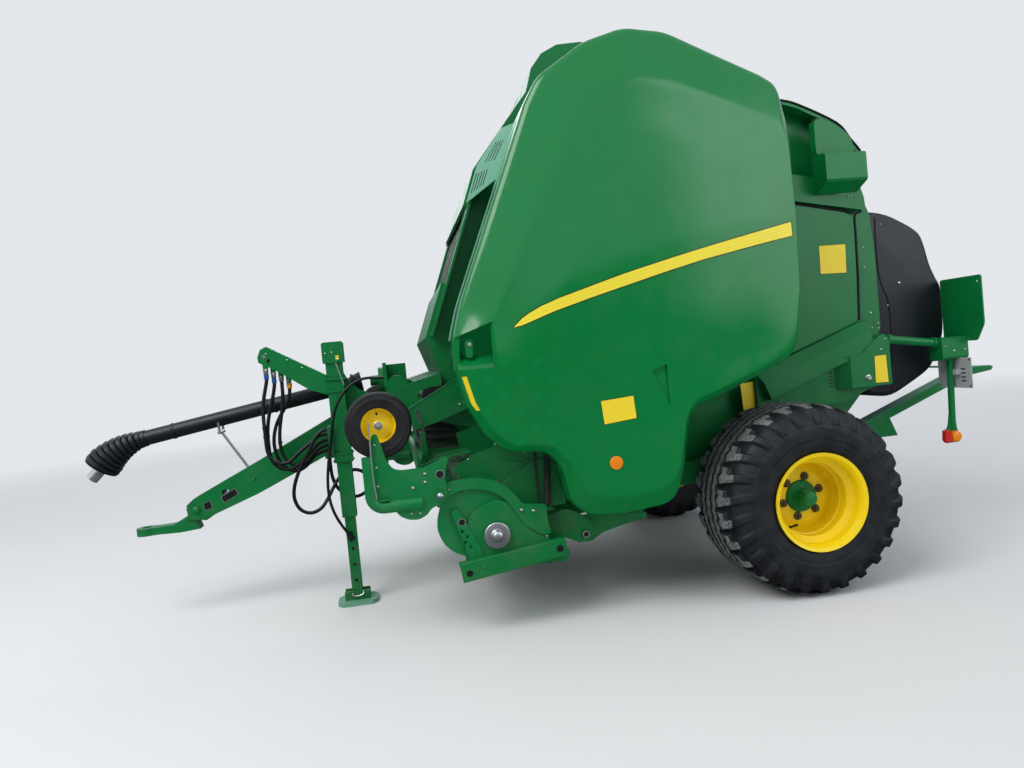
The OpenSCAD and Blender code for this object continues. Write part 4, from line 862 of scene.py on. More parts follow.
def shield_straps(side, word, body):
    """Three hinge straps, each with a ring round the hinge rod."""
    straps = Build()
    for x, z in zip((-1050, -620, -180), (2598, 2749, 2582)):
        lug = [(-790, 2550), (-790, 2610), (-1000, z), (-1050, z), (-1050, z - 60)]
        straps.add([at(x - 46 + w, -side * a, b) for w in (0, 20) for a, b in lug], skin(2, len(lug), True))
        straps.lathe(at(x - 46, side * HINGE_Y, HINGE_Z), (1, 0, 0), [(17, 0), (36, 0), (36, 20), (17, 20)], 28,
                     ring=True)
    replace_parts(straps.make("shield_straps_" + word, GREEN, body), "shield_" + word)


def shield_edge_strip(side, word, body):
    """A bent foil on the front bevel: its inner and outer X at three heights, under and over the skin."""
    strip = [at(x - 0.86 * out, side * (y + 0.5 * out), z) for out in (-1, 2.2)
             for x0, x1, z in ((-1637, -1620, 1226), (-1609, -1593, 1108), (-1592, -1575, 1070))
             for x, y in ((x0, 1158), (x1, 1187))]
    Build().add(strip, [(0, 1, 3, 2), (2, 3, 5, 4), (6, 8, 9, 7), (8, 10, 11, 9), (0, 6, 7, 1), (4, 5, 11, 10),
                        (0, 2, 8, 6), (2, 4, 10, 8), (1, 7, 9, 3), (3, 9, 11, 5)]
                ).make("edge_strip_" + word, FOIL_YELLOW, body)


def shield_latch(side, word, body):
    """The scoop's sloping ledge and the latch's lever over it."""
    ledge = [(1100, 1254), (1100, 1316), (1126, 1312), (1150, 1292), (1176, 1262), (1182, 1254)]
    verts = [at(x, side * (y - (0 if x > -1600 else 26)), z) for x in (-1652, -1600, -1500, -1482) for y, z in ledge]
    Build().add(verts, skin(4, len(ledge), True)).make("shield_ledge_" + word, SHIELD_GREEN, body)
    oval = arc(-1590, 1374, 19, 0, 180, 8) + arc(-1592, 1322, 17, 180, 360, 8)
    Build().plate(oval, side * 1138, side * 1104, 3).make("shield_latch_" + word, GREEN, body)


def shield_flange(side, word, body):
    """The front edge turned in behind the skin."""
    line = sorted((p for p in RIM_LINE if p.x < -1150 and p.y > 1395), key=lambda p: p.y)
    verts = []
    for p in line:
        q = SHIELD_MID + (p - SHIELD_MID) * 0.99
        verts += [at(r.x, side * y, r.y) for r, y in ((p, 968), (p, 858), (q, 858), (q, 968))]
    Build().add(verts, skin(len(line), 4, True)).make("shield_flange_" + word, SKYLIT, body)


for side, word in SIDE_WORDS:
    body = word + "_shield"
    shield(side, "shield_" + word, body)
    ribbon("stripe_" + word, STRIPE, side, body, STRIPE_LOOK, 0.9, BLACK_FOIL_AND_SHADE, 4)
    for k, (x, z) in enumerate(SQUARES):
        square = [(x + SQUARE_HALF * u, z + SQUARE_HALF * v) for u, v in ((-1, -1), (1, -1), (1, 1), (-1, 1))]
        ribbon(f"square_{word}_{k}", square, side, body, FOIL_GREEN, 0.4)
    ribbon("blank_plate_" + word, ((-1023, 1056), (-862, 1066), (-855, 957), (-1014, 943)), side, body, FOIL_YELLOW,
           0.8, BLACK_FOIL_AND_SHADE, 2.5)
    shield_straps(side, word, body)
    out = (0, side, 0)
    Build().lathe(at(-973, side * (SHIELD_Y + bulge(-973, 764)), 764), out,
                  [(31, 0), (31, 3), (29, 5), (20, 6.5), (8, 7.2)], 36).make("side_reflector_" + word, ORANGE, body)
    pins = Build().dome(at(-728, side * 1182, 1046), out, 15, 6).dome(at(-578, side * 1178, 1072), out, 10, 4)
    pins.lathe(at(-1588, side * 1136, 1368), out, [(9, 0), (9, 8), (7, 10)], 20)
    pins.make("shield_pins_" + word, STEEL, body)
    shield_edge_strip(side, word, body)
    shield_latch(side, word, body)
    shield_flange(side, word, body)


# Small fasteners and markings, on the given depth and mirrored to the other side
def studs(name, body, y, rows, material=ZINC, kind="dome"):
    """Domed or hexagon heads: X, Z and the width of each."""
    made = Build()
    for side in SIDES:
        for x, z, d in rows:
            place, axis = at(x, side * y, z), (0, side, 0)
            if kind == "dome":
                made.dome(place, axis, d, d * 0.4)
            else:
                made.bolt(place, axis, d)
    return made.make(name, material, body)


def rings(name, body, y, rows, material, width=3.0):
    """Flat rings on a wall: X, Z and the outer radius of each."""
    made = Build()
    for side in SIDES:
        for x, z, r in rows:
            centre = at(x, side * y, z)
            made.lathe(centre, (0, side, 0), [(r, 0), (r, 1.2), (r - width, 1.4), (r - width, 0)], 32, ring=True)
    return made.make(name, material, body)


def discs(name, body, y, rows, material, lift=0.5):
    """Flat discs on a wall: X, Z and the radius of each."""
    made = Build()
    for side in SIDES:
        for x, z, r in rows:
            made.lathe(at(x, side * y, z), (0, side, 0), [(r, 0), (r, lift)], 28)
    return made.make(name, material, body)


def blank_plates(name, body, rows):
    """Blank yellow plates with a black edge: corner points in X and Z on a depth."""
    for side, word in SIDE_WORDS:
        for k, (y, outline) in enumerate(rows):
            ribbon(f"{name}_{word}_{k}", outline, side, body, FOIL_YELLOW, 0.8, BLACK_FOIL_AND_SHADE, 2.5, at_y=y)


# Windguard
studs("windguard_bolts", "windguard_body", 1036,
      [(-2058, 953, 13), (-2058, 849, 13), (-2060, 763, 13), (-1903, 737, 17), (-1842, 795, 16), (-1845, 757, 16),
       (-1920, 618, 12), (-1881, 616, 12)])
discs("windguard_dial", "windguard_body", 1036, [(-1774, 786, 18)], BLACK_FOIL_AND_SHADE)
rings("windguard_dial_ring", "windguard_body", 1036.4, [(-1774, 786, 21)], ZINC, 3.5)
fold = Build()
for side in SIDES:
    fold.plate([(-2075, 960), (-2064, 1000), (-2061, 999), (-2070, 958), (-2070, 700), (-2075, 700)], side * 1052,
               side * 1034)
    fold.block((-2063, side * 1040, 697), (-2012, side * 1060, 704))
fold.make("windguard_folds", GREEN, "windguard_body")
both("windguard_stays", ZINC, "windguard_body", lambda build, side: build.tube(
    smooth_path([at(-2072, side * 1054, 1058), at(-2076, side * 1056, 940), at(-2077, side * 1056, 800),
                 at(-2070, side * 1056, 712)]), 7, 8))
press = Build()
for k in range(17):
    y = (k - 8) * 84 + 42
    for x0, z0, x1, z1 in ((-1800, 962, -1694, 956), (-1800, 916, -1632, 926), (-1795, 872, -1618, 856)):
        bent = ((x0 - 26, z0 - 24), (x0 - 8, z0 - 4), (x0 + 8, z0), (x1, z1), (x1 + 16, z1 - 6))
        press.tube(smooth_path([at(x, y, z) for x, z in bent]), 7, 6)
for x, z in ((-1824, 940), (-1824, 893), (-1820, 848)):
    press.tube([at(x, -760, z), at(x, 760, z)], 22, 12)
press.make("press_rods", DARK_STEEL, "windguard_body")
cheeks = Build()
for side in SIDES:
    cheeks.plate([(-1836, 966), (-1812, 966), (-1806, 842), (-1836, 838)], side * 775, side * 760)
    cheeks.plate([(-1862, 800), (-1836, 800), (-1812, 842), (-1836, 850)], side * 775, side * 760)
cheeks.make("press_cheeks", GREEN, "windguard_body")


# Sheet behind the pickup's sides
FILLERS = (
    (921, 5, [(-1478, 690), (-1318, 784), (-1170, 790), (-1170, 552), (-1392, 552), (-1446, 640)]),
    (910, 4, [(-1700, 770), (-1688, 800), (-1480, 806), (-1330, 776), (-1466, 700), (-1560, 722), (-1668, 734)]),
    (645, 4, [(-1300, 1006), (-1282, 762), (-1440, 772), (-1560, 800), (-1640, 850), (-1650, 935)]),
    (664, 4, [(-1284, 762), (-1056, 566), (-1000, 560), (-1000, 440), (-1236, 440), (-1240, 590), (-1300, 700)]))
fillers = Build()
for side in SIDES:
    for y, thick, outline in FILLERS:
        fillers.plate(outline, side * y, side * (y - thick))
fillers.make("side_fillers", GREEN, "chassis")


# Chains and coil springs
def chain(build, a, b, link=30, wire=5):
    """Oval links from a to b, each at a right angle to the last."""
    count = max(2, round((b - a).length * 1000 / (link - wire * 1.6)))
    axis = (b - a).normalized()
    for k in range(count):
        centre = a + (b - a) * ((k + 0.5) / count)
        side = axis.orthogonal().normalized()
        if k % 2:
            side = axis.cross(side)
        half, r = (link / 2 - 7) / 1000, 0.0065
        build.tube([centre + axis * (math.copysign(half, c) + r * c) + side * r * s for c, s in circle(16)], wire, 6,
                   closed=True)


def coil(build, a, b, r, wire, turns):
    """A coil spring from a to b."""
    axis = (b - a).normalized()
    side = axis.orthogonal().normalized()
    other = axis.cross(side)
    spots = circle(14) * turns + circle(14)[:1]
    build.tube([a + (b - a) * (k / (len(spots) - 1)) + (side * c + other * s) * r for k, (c, s) in enumerate(spots)],
               wire, 7)


hang = Build()
for side in SIDES:
    chain(hang, at(-1303, side * 934, 832), at(-1303, side * 934, 560))
    coil(hang, at(-1243, side * 934, 800), at(-1262, side * 934, 570), 0.0135, 6.5, 26)
    hang.tube([at(-1242, side * 934, 838), at(-1243, side * 934, 798)], 10, 10)
    hang.tube([at(-1262, side * 934, 574), at(-1263, side * 934, 552)], 10, 10)
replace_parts(hang.make("springs_and_chains", DARK_STEEL, "chassis", 50), "lift_springs")
front_chain = Build()
for side in SIDES:
    chain(front_chain, at(-1840, side * 712, 1058), at(-1822, side * 768, 1004), 28, 5)
    front_chain.dome(at(-1840, side * 700, 1066), (0, side, 0), 18, 8)
front_chain.make("front_chains", DARK_STEEL, "chassis", 50)

# Pickup side
studs("pickup_bolts", "pickup", 1020, [(-1407, 569, 18), (-1350, 558, 18), (-1738, 706, 11)])
studs("pickup_plate_bolts", "pickup", 1010, [(-1313, 478, 17), (-1296, 428, 12)])
both("pickup_sills", GREEN, "pickup", lambda build, side: build.plate(
    [(-1724, 360), (-1216, 417), (-1208, 333), (-1713, 269)], side * 1050, side * 1006, 4))
studs("sill_bolts", "pickup", 1050, [(-1612, 330, 16)], GREEN)
studs("pickup_pivots", "pickup", 1054, [(-1782, 688, 34)], ZINC)
discs("pickup_dial", "pickup", 1020.2, [(-1693, 548, 13)], BLACK_FOIL_AND_SHADE)
rings("pickup_dial_ring", "pickup", 1020.4, [(-1693, 548, 19)], ZINC, 4)
# black discs in the two holes: painted shade
discs("pickup_hole_shade", "pickup", 1050, [(-1682, 311, 16), (-1245, 370, 17)], BLACK_FOIL_AND_SHADE, 0.6)
rings("pickup_hole_rims", "pickup", 1050.1, [(-1682, 311, 22), (-1245, 370, 24)], GREEN, 6)
rings("pivot_ends", "chassis", 926, [(-1083, 390, 19)], ZINC, 7)
# black disc in the pivot end's bore: painted shade
discs("pivot_end_hole_shade", "chassis", 926.1, [(-1083, 390, 12)], BLACK_FOIL_AND_SHADE)
WELD = ((-1812, 697), (-1760, 676), (-1700, 702), (-1618, 702), (-1556, 686), (-1503, 656), (-1460, 610),
        (-1424, 552), (-1400, 505), (-1340, 452))
both("pickup_weld", GREEN, "pickup", lambda build, side: build.tube(
    smooth_path([at(x, side * 1011, z) for x, z in WELD]), 5, 6))
REEL_X, REEL_Z = -1534, 466
caps = Build()
for side in SIDES:
    out = (0, side, 0)
    caps.lathe(at(REEL_X, side * 1028, REEL_Z), out, [(62, 0), (62, 4), (60, 6), (58, 6.5), (40, 6.5), (38, 5)], 48)
    caps.lathe(at(REEL_X, side * 1032, REEL_Z), out,
               [(32, 0), (32, 8), (28, 12), (27, 24), (25, 29), (19, 33), (9, 35)], 36)
    for c, s in circle(4, math.radians(45)):
        caps.bolt(at(REEL_X + 49 * c, side * 1034, REEL_Z + 49 * s), out, 7, False)
caps.make("reel_caps", ZINC, "reel")

# Gauge wheels
GAUGE_HALF = [(80, -43.6), (83, -45.2), (96, -46), (118, -47.6), (122, -49), (126, -47.6), (136, -46), (141, -45.4),
              (144, -46), (147, -43), (152, -34), (155, -24), (155.2, -17), (151, -16), (151, -12), (155.8, -11)]
GAUGE_PROFILE = GAUGE_HALF + [(156, 0)] + [(r, -h) for r, h in reversed(GAUGE_HALF)]
GAUGE_POINTS = 96
for side, word in SIDE_WORDS:
    body = "gauge_" + word
    centre = at(-2031, side * 948, 1038)
    out = (0, side, 0)
    verts = [centre + Vector((r * c, h, r * s)) / 1000 for r, h in GAUGE_PROFILE for c, s in circle(GAUGE_POINTS)]
    piece("gauge_ring_" + word, verts, skin(len(GAUGE_PROFILE), GAUGE_POINTS, ring=True), GAUGE_TYRE, body, 30,
          ("gauge_tyre_" + word,))
    face, stub = centre + Vector((0, side * 0.050, 0)), centre + Vector((0, side * 0.053, 0))
    nut = Build().lathe(face, out, [(20, 0), (20, 3), (18, 4.5), (14, 4.5)], 32).bolt(stub, out, 24, False)
    nut.lathe(stub, out, [(7, 0), (7, 22), (5, 24)], 16).make("gauge_nut_" + word, ZINC, body)
    Build().lathe(centre + Vector((-0.004, side * 0.020, 0.052)), (0, side, 0.4),
                  [(5, 0), (5, 10), (3.5, 12), (3.5, 22)], 12).make("gauge_valve_" + word, SEAL, body)

# Main wheels: nuts, valve and hub
for side, word in SIDE_WORDS:
    body = "wheel_" + word
    out = (0, side, 0)
    nuts = Build()
    for c, s in circle(6, math.radians(15)):
        place = at(101 * c, side * 1042, TYRE_R + 101 * s)
        nuts.lathe(place, out, [(21, 0), (21, 2.5), (18, 4), (15, 4)], 24)
        nuts.lathe(place, out, [(17.6, 0), (17.6, 15), (15, 18)], 6, 0.2)
        nuts.lathe(place, out, [(9.6, 0), (9.6, 25), (8, 27)], 16)
    nuts.make("wheel_nuts_" + word, DARK_STEEL, body)
    Build().lathe(at(-118, side * 1125, 338), (0.62, side * 0.5, 0.3),
                  [(8, 0), (8, 7), (5, 9), (5, 26), (6.5, 28), (6.5, 40), (5, 42)], 16
                  ).make("wheel_valve_" + word, SEAL, body)
    boss = Build().lathe(at(0, side * 940, TYRE_R), out, [
        (46, 120), (46, 0), (75, 0), (75, 68), (122, 68), (122, 90), (78, 90), (78, 111), (76, 114), (60, 115.5),
        (46, 116), (41, 118), (37, 124), (35.5, 132), (34.5, 188), (34, 196), (31, 201), (14, 204.5), (5, 205)], 48)
    for k in range(3):
        boss.lathe(at(0, side * (1068 + 22 * k), TYRE_R), out, [(34, 0), (36.4, 1.5), (36.4, 3.5), (34, 5)], 40)
    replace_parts(boss.make("hub_face_" + word, GREEN, body), "hub_" + word)


# Drive shaft: ribbed bellows on its bent line, and bands on the guard. PTO is the point it lifts about.
PTO = at(-2100, 0, 1235)
PTO_TURN = Matrix.Rotation(math.radians(-9), 3, "Y")
RING_PITCH = 30
BELLOWS_SIDES = 56


def pto(x, r, c, s):
    """A point on the bellows' skin: x along the line, radius, and direction round it; the line bends at each ring."""
    spot, turn = Vector((-1.250, 0, 0)), Matrix.Identity(3)
    left = -x
    while left > 0:
        step = min(left, RING_PITCH)
        spot = spot + turn @ Vector((-step / 1000, 0, 0))
        left -= step
        turn = turn @ Matrix.Rotation(math.radians(-4.4) * step / RING_PITCH, 3, "Y")
    return PTO + PTO_TURN @ (spot + turn @ Vector((0, r * c, r * s)) / 1000)


bellows = [(8, 42.5), (6, 46.5), (-16, 47)]
for k in range(9):
    wide, before = (49 + 46 * min(1, max(0, i) / 7) for i in (k, k - 1))
    start = -22 - RING_PITCH * k
    bellows += [(start, before - 2), (start - 3, wide - 4), (start - 7, wide + 0.5), (start - 22, wide + 1),
                (start - 26, wide - 3), (start - 29, wide - 9)]
bellows += [(-296, 92), (-298, 88), (-292, 84), (-240, 70), (-200, 50), (-200, 30)]
piece("shaft_bellows", [pto(x, r, c, s) for x, r in bellows for c, s in circle(BELLOWS_SIDES)],
      skin(len(bellows), BELLOWS_SIDES, capped=False), BLACK, "drive_shaft", 34, ("pto_bellows",))
bands = Build()
for x in (-60, -520, -560, -1090):
    a, b = (PTO + PTO_TURN @ Vector((end / 1000, 0, 0)) for end in (x, x - 14))
    r = 46 if x < -100 else 62
    bands.lathe(a, b - a, [(r - 3.5, 0), (r - 1, 2), (r, 4), (r, 12), (r - 1, 14), (r - 3.5, 16)], 40)
bands.make("shaft_bands", BLACK, "drive_shaft")

# Drawbar, stand for the shaft, jack and hose boom
studs("drawbar_bolts", "chassis", 70, [(-2768, 748, 20), (-3095, 612, 46)], GREEN)
studs("drawbar_pins", "chassis", 71, [(-2768, 748, 13), (-3095, 612, 16)], ZINC)
for side, word in SIDE_WORDS:
    for letter, outline in (("a", ((-3050, 601), (-3007, 611), (-3016, 655), (-3057, 645))),
                            ("b", ((-2960, 668), (-2877, 709), (-2860, 674), (-2942, 633)))):
        ribbon(f"drawbar_plate_{letter}_{word}", outline, side, "chassis", BLACK_FOIL_AND_SHADE, 0.8, ZINC, 2.5, at_y=70)
stand = Build().tube([at(-2800, 0, 803), at(-2930, 0, 1030)], 15, 12)
stand.tube([at(-2930, -62, 1030), at(-2930, 62, 1030)], 20, 12)
for side in SIDES:
    stand.tube([at(-2930, side * 52, 1030), at(-2932, side * 54, 1086)], 14, 12)
stand.make("shaft_stand", ZINC, "chassis")
NEAR = (0, -1, 0)
jack = Build()
for x, z, d in ((-2293, 1412, 11), (-2225, 1376, 13)):
    jack.dome(at(x, -230, z), NEAR, d, 5)
jack.tube([at(-2258, -224, 1413), at(-2210, -224, 1228)], 8, 8)
jack.dome(at(-2258, -224, 1415), NEAR, 14, 6).make("jack_rod", STEEL, "chassis")
Build().lathe(at(-2205, -119, 1179), NEAR, [(12, 0), (12, 7), (10, 9), (4, 10)], 20
              ).make("jack_grease_cap", CAP_RED, "chassis")
Build().plate([(-2240, 1372), (-2222, 1372), (-2222, 1396), (-2240, 1396)], -229.3, -228
              ).make("jack_badge", FOIL_YELLOW, "chassis")
collar = Build()
for reach, z in ((56, 806), (56, 846), (46, 1352)):
    collar.block((-2255 - reach, -170 - reach, z), (-2255 + reach, -170 + reach, z + 8))
collar.make("jack_collars", GREEN, "chassis")
FOOT = [(-110, -50), (-80, -90), (80, -90), (110, -50), (110, 50), (80, 90), (-80, 90), (-110, 50)]
piece("jack_foot_plate", [at(-2255 + x * 1.004, -170 + y * 1.004, z) for z in (0.5, 21) for x, y in FOOT], skin(2, 8),
      SHEEN_PAINTED_GREEN, "jack", 30)
# black discs in the jack leg's holes: painted shade
leg = Build()
for z in (130, 220, 310, 400):
    leg.lathe(at(-2255, -199.5, z), NEAR, [(9, 0), (9, 1)], 20)
leg.make("jack_leg_hole_shade", BLACK_FOIL_AND_SHADE, "jack")
Build().tube(smooth_path([at(-2280, -204, 62), at(-2280, -216, 50), at(-2262, -218, 44), at(-2226, -218, 50),
                          at(-2222, -206, 66)]), 7, 8).make("jack_leg_pin", STEEL, "jack")

sleeves = Build()
for x, y, z in ((-2622, -205, 1300), (-2586, -182, 1277)):
    sleeves.lathe(at(x, y, z), UP, [(10.5, 0), (13, 2), (13, 26), (10.5, 28)], 20)
sleeves.make("hose_sleeves", CAP_BLUE, "chassis")
ties = Build()
for x, y, z in ((-2661, -205, 981), (-2651.5, -182, 984), (-2592, -159, 940), (-2661, -205, 1030)):
    ties.lathe(at(x, y, z), UP, [(10, 0), (12.6, 1.5), (12.6, 8.5), (10, 10)], 20)
ties.make("hose_ties", SEAL, "chassis")
Build().lathe(at(-2514, -136, 1240), UP, [(10.5, 0), (14, 2), (14, 16), (16, 18), (16, 26), (10.5, 28)], 20
              ).make("hose_coupling", CAP_YELLOW, "chassis")
ends = Build()
for hose, y, route in HOSES:
    x, z = route[0]
    ends.lathe(at(x, y, z - 26), UP, [(11, 0), (13, 3), (13, 20), (15, 22), (15, 30), (14.6, 32)], 20)
    ends.lathe(at(x, y, z + 60), UP, [(14.6, 0), (15.5, 2), (15.5, 18), (12, 22), (12, 34)], 20)
ends.make("hose_couplings", ZINC, "chassis")
boom = Build()
for x, z in ((-2501, 1396), (-2425, 1346), (-2610, 1440)):
    boom.dome(at(x, -218, z), NEAR, 12, 5)
boom.make("boom_bolts", ZINC, "chassis")

# Front rails, platform and guards
studs("rail_bolts", "chassis", 700, [(-1620, 1180, 14), (-1620, 1080, 14)])
studs("guard_bolts", "chassis", 905, [(-1680, 772, 12), (-1625, 822, 11), (-1484, 880, 14), (-1345, 824, 12)])
# black plates in the platform's slots: painted shade
both("platform_slot_shade", BLACK_FOIL_AND_SHADE, "chassis", lambda build, side: build.plate(
    [(-1808, 1144), (-1797, 1165), (-1763, 1179), (-1700, 1184), (-1692, 1173), (-1733, 1160), (-1784, 1133),
     (-1807, 1129)], side * 661.5, side * 660.5, 0.2))
ribs = Build()
for k in range(6):
    x = -1832 + 24 * k
    z = 1218 + (x + 1838) * 33 / 138
    ribs.tube([at(x, -640, z + 2), at(x, 640, z + 2)], 5, 6)
ribs.make("platform_ribs", GREEN, "chassis")
both("rail_edges", GREEN, "chassis", lambda build, side: build.tube(
    [at(-1884, side * 701, 1081), at(-1640, side * 701, 1207), at(-1592, side * 701, 1209)], 6, 6))


# Louvred corner sheets between the front panel and the shields
def corner_sheet(side, word):
    """A thin folded sheet between two edges, with two rows of slits as black tubes of painted shade."""
    near = [(-1274, 2452), (-1414, 2272), (-1486, 2088)]
    out = [(-1222, 2436), (-1300, 2262), (-1342, 2168)]

    def spot(s, t, lift=0.0):
        s = min(max(s, 0), 1.999)
        i = int(s)
        f = s - i
        a = Vector(near[i]) * (1 - f) + Vector(near[i + 1]) * f
        b = Vector(out[i]) * (1 - f) + Vector(out[i + 1]) * f
        p = a * (1 - t) + b * t
        return at(p.x - 0.75 * lift, side * (702 + 146 * t + 0.5 * lift), p.y + 0.42 * lift)

    rows, cols = 12, 6
    verts = [spot(2 * i / rows, j / cols, lift) for lift in (0, 4) for i in range(rows + 1) for j in range(cols + 1)]
    m = (rows + 1) * (cols + 1)
    faces = []
    for i in range(rows):
        for j in range(cols):
            k = i * (cols + 1) + j
            faces.append((k, k + 1, k + cols + 2, k + cols + 1))
            faces.append((m + k + cols + 1, m + k + cols + 2, m + k + 1, m + k))
    rim = list(range(cols)) + [i * (cols + 1) + cols for i in range(rows)]
    rim += [rows * (cols + 1) + j for j in range(cols, 0, -1)] + [i * (cols + 1) for i in range(rows, 0, -1)]
    faces += [(rim[k], m + rim[k], m + rim[(k + 1) % len(rim)], rim[(k + 1) % len(rim)]) for k in range(len(rim))]
    Build().add(verts, faces).make("corner_sheet_" + word, SKYLIT, "chassis")
    # the slits as black tubes: painted shade in the openings
    slits = Build()
    for start, places in ((0.42, (0.3, 0.42, 0.54, 0.66)), (1.25, (0.1, 0.2, 0.3, 0.4, 0.5))):
        for t in places:
            slits.tube([spot(start + 0.55 * k / 4, t, 4) for k in range(5)], 5, 6)
    slits.make("corner_slit_shade_" + word, BLACK_FOIL_AND_SHADE, "chassis")


for side, word in SIDE_WORDS:
    corner_sheet(side, word)

# Tailgate sides: seals, seams, bolts and blank plates
GATE_Y = 720
GATE_SEALS = (  # how far out and how wide each runs, then its X and Z
    (1, 13, ((250, 2525), (349, 2497), (567, 2389), (640, 2300), (690, 2237), (712, 2181))),
    (-18, 14, ((683, 1906), (644, 1886), (640, 1800), (634, 1571), (624, 1400), (618, 1310))),
    (-17, 12, ((30, 2031), (170, 2000), (287, 1974), (470, 1936), (640, 1900))),
    (22, 9, ((407, 2398), (443, 2406), (563, 2352), (621, 2287), (637, 2218))))
seals = Build()
for side in SIDES:
    for out, wide, line in GATE_SEALS:
        seals.tube(smooth_path([at(x, side * (GATE_Y + out), z) for x, z in line]), wide, 8)
seals.make("gate_seals", SEAL, "tailgate")
studs("gate_bolts", "tailgate", GATE_Y, [(598, 1989, 13), (619, 1988, 9)])
studs("flange_bolts", "tailgate", 651, [(711, 1710, 13), (709, 1603, 13), (725, 1345, 16), (768, 1283, 12),
                                        (727, 1262, 11), (766, 1256, 11)])
studs("bracket_bolts", "tailgate", GATE_Y + 56, [(598, 994, 22)], ZINC, "bolt")
studs("arm_bolts", "tailgate", GATE_Y + 56, [(686, 1140, 14), (712, 1196, 12)])
# the louvres' openings as black plates: painted shade
louvres = Build()
for side in SIDES:
    for k in range(8):
        z = 962 + k * 18
        louvres.plate([(400, z), (428, z), (428, z + 8), (400, z + 8)], side * (GATE_Y + 1.5), side * (GATE_Y - 1))
louvres.make("gate_louvre_shade", BLACK_FOIL_AND_SHADE, "tailgate")
blank_plates("gate_plate", "tailgate", ((702, ((414, 1737), (575, 1735), (568, 1575), (411, 1580))),
                                        (776, ((641, 1111), (714, 1112), (718, 958), (637, 961)))))
blank_plates("body_plate", "chassis", ((697, ((-107, 1032), (-28, 1040), (-24, 894), (-100, 885))),))
both("gate_seams", SEAL, "tailgate", lambda build, side: build.tube(
    [at(30, side * 702, 1602), at(230, side * 702, 1602)], 2.4, 5))

# Net cover: the moulded hood with rounded edges
HOOD = ((690, 1895), (772, 1915), (844, 1911), (925, 1888), (1001, 1849), (1066, 1810), (1112, 1766), (1136, 1700),
        (1160, 1596), (1190, 1520), (1218, 1455), (1220, 1320), (1210, 1190), (1165, 1085), (1106, 997), (985, 925),
        (859, 869), (760, 872), (696, 886))


def hood(half=605, r=26, steps=6):
    """The cover with both ends rounded by r."""
    outline = wound([tuple(p) for p in smooth_path([Vector(p) for p in HOOD])])
    turns = [math.pi / 2 * k / steps for k in range(steps + 1)]
    near = [(-half + r * (1 - math.sin(a)), r * (1 - math.cos(a))) for a in reversed(turns)]
    stations = near + [(-y, d) for y, d in reversed(near)]
    verts = [at(x, y, z) for y, d in stations for x, z in (inset(outline, d) if d > 0.01 else outline)]
    piece("net_cover", verts, skin(len(stations), len(outline)), BLACK, "tailgate", 30, ("net_hood",))


hood()
studs("hood_bolts", "tailgate", 605, [(949, 1500, 19), (862, 1840, 10), (868, 1380, 10)], ZINC)
RIDGE = ((829, 1880), (823, 1700), (827, 1561), (850, 1470), (872, 1400), (876, 1250), (862, 1000), (850, 880))
both("hood_ridges", BLACK, "tailgate", lambda build, side: build.tube(
    smooth_path([at(x, side * 604, z) for x, z in RIDGE], 5), 10, 8))

# Lamps, boards and their tube
both("marker_lenses", ORANGE, "tailgate", lambda build, side: build.lathe(
    at(1112, side * (GATE_Y + 45), 616), (0, side, 0), [(28, 0), (28, 3), (27, 5), (20, 7), (10, 8), (4, 8.3)], 36))
both("tail_lenses", RED, "tailgate", lambda build, side: build.plate(
    [(1040, 652), (1062, 660), (1078, 640), (1078, 590), (1050, 584), (1036, 600)], side * 772, side * 744, 3))
studs("board_bolts", "tailgate", 792, [(1114, 1093, 16), (1180, 1095, 13), (1062, 1122, 12)], ZINC, "dome")
collars = Build()
for side in SIDES:
    y = side * (GATE_Y + 25)
    a, b = at(742, y, 1191), at(1040, y, 1145)
    d = (b - a).normalized()
    for s in (0.0, (b - a).length - 0.022):
        collars.lathe(a + d * s, d, [(24, 0), (30, 2), (30, 20), (24, 22)], 32)
    post = at(1120, y, 1050)
    down = (at(1106, y, 662) - post).normalized()
    collars.lathe(post, down, [(24, -2), (24, 14), (18, 18)], 28)
collars.make("lamp_tube_collars", GREEN, "tailgate")
# rear plates on their bar, lower and further in than the boards
holders = Build()
marks = Build()
for side in SIDES:
    holders.block((1148, side * 612, 884), (1152, side * 868, 1052), 0.5)
    holders.block((1120, side * 700, 960), (1149, side * 790, 990), 1)
    for y in (700, 790):
        for k in range(4):
            z = 985 - 22 * k
            marks.block((1147.2, side * y, z), (1148.2, side * (y + 34), z + 8), 0.1)
    for y, z in ((624, 896), (856, 896), (624, 1040), (856, 1040)):
        marks.lathe(at(1148, side * y, z), (-1, 0, 0), [(6, 0), (6, 1.5), (4, 2)], 12)
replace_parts(holders.make("plates_rear", GALVANISED, "tailgate"), "plate_holders")
marks.make("holder_marks", DARK_STEEL, "tailgate")

# Tops of the ramp's rails, painted pale for the sky's sheen on them, whose line is given in X and Z
RAIL_TOP = ((330, 634.7), (743, 713), (1440, 969), (1598, 967), (1611, 958))
tops = Build()
for side in SIDES:
    y0, y1 = sorted((side * 395, side * 485))
    n = len(RAIL_TOP)
    verts = [at(x, y, z + dz) for dz in (-1.5, 0.8) for y in (y0 + 1, y1 - 1) for x, z in RAIL_TOP]
    faces = []
    for k in range(n - 1):
        a, b, c, d = (n * row + k for row in range(4))
        faces += [(c, d, d + 1, c + 1), (a, a + 1, b + 1, b), (a, c, c + 1, a + 1), (b, b + 1, d + 1, d)]
    tops.add(verts, faces)
tops.block((1541, -484, 965.5), (1589, 484, 967.2), 0.3)
tops.make("ramp_tops", SHEEN_PAINTED_GREEN, "ramp", 30)


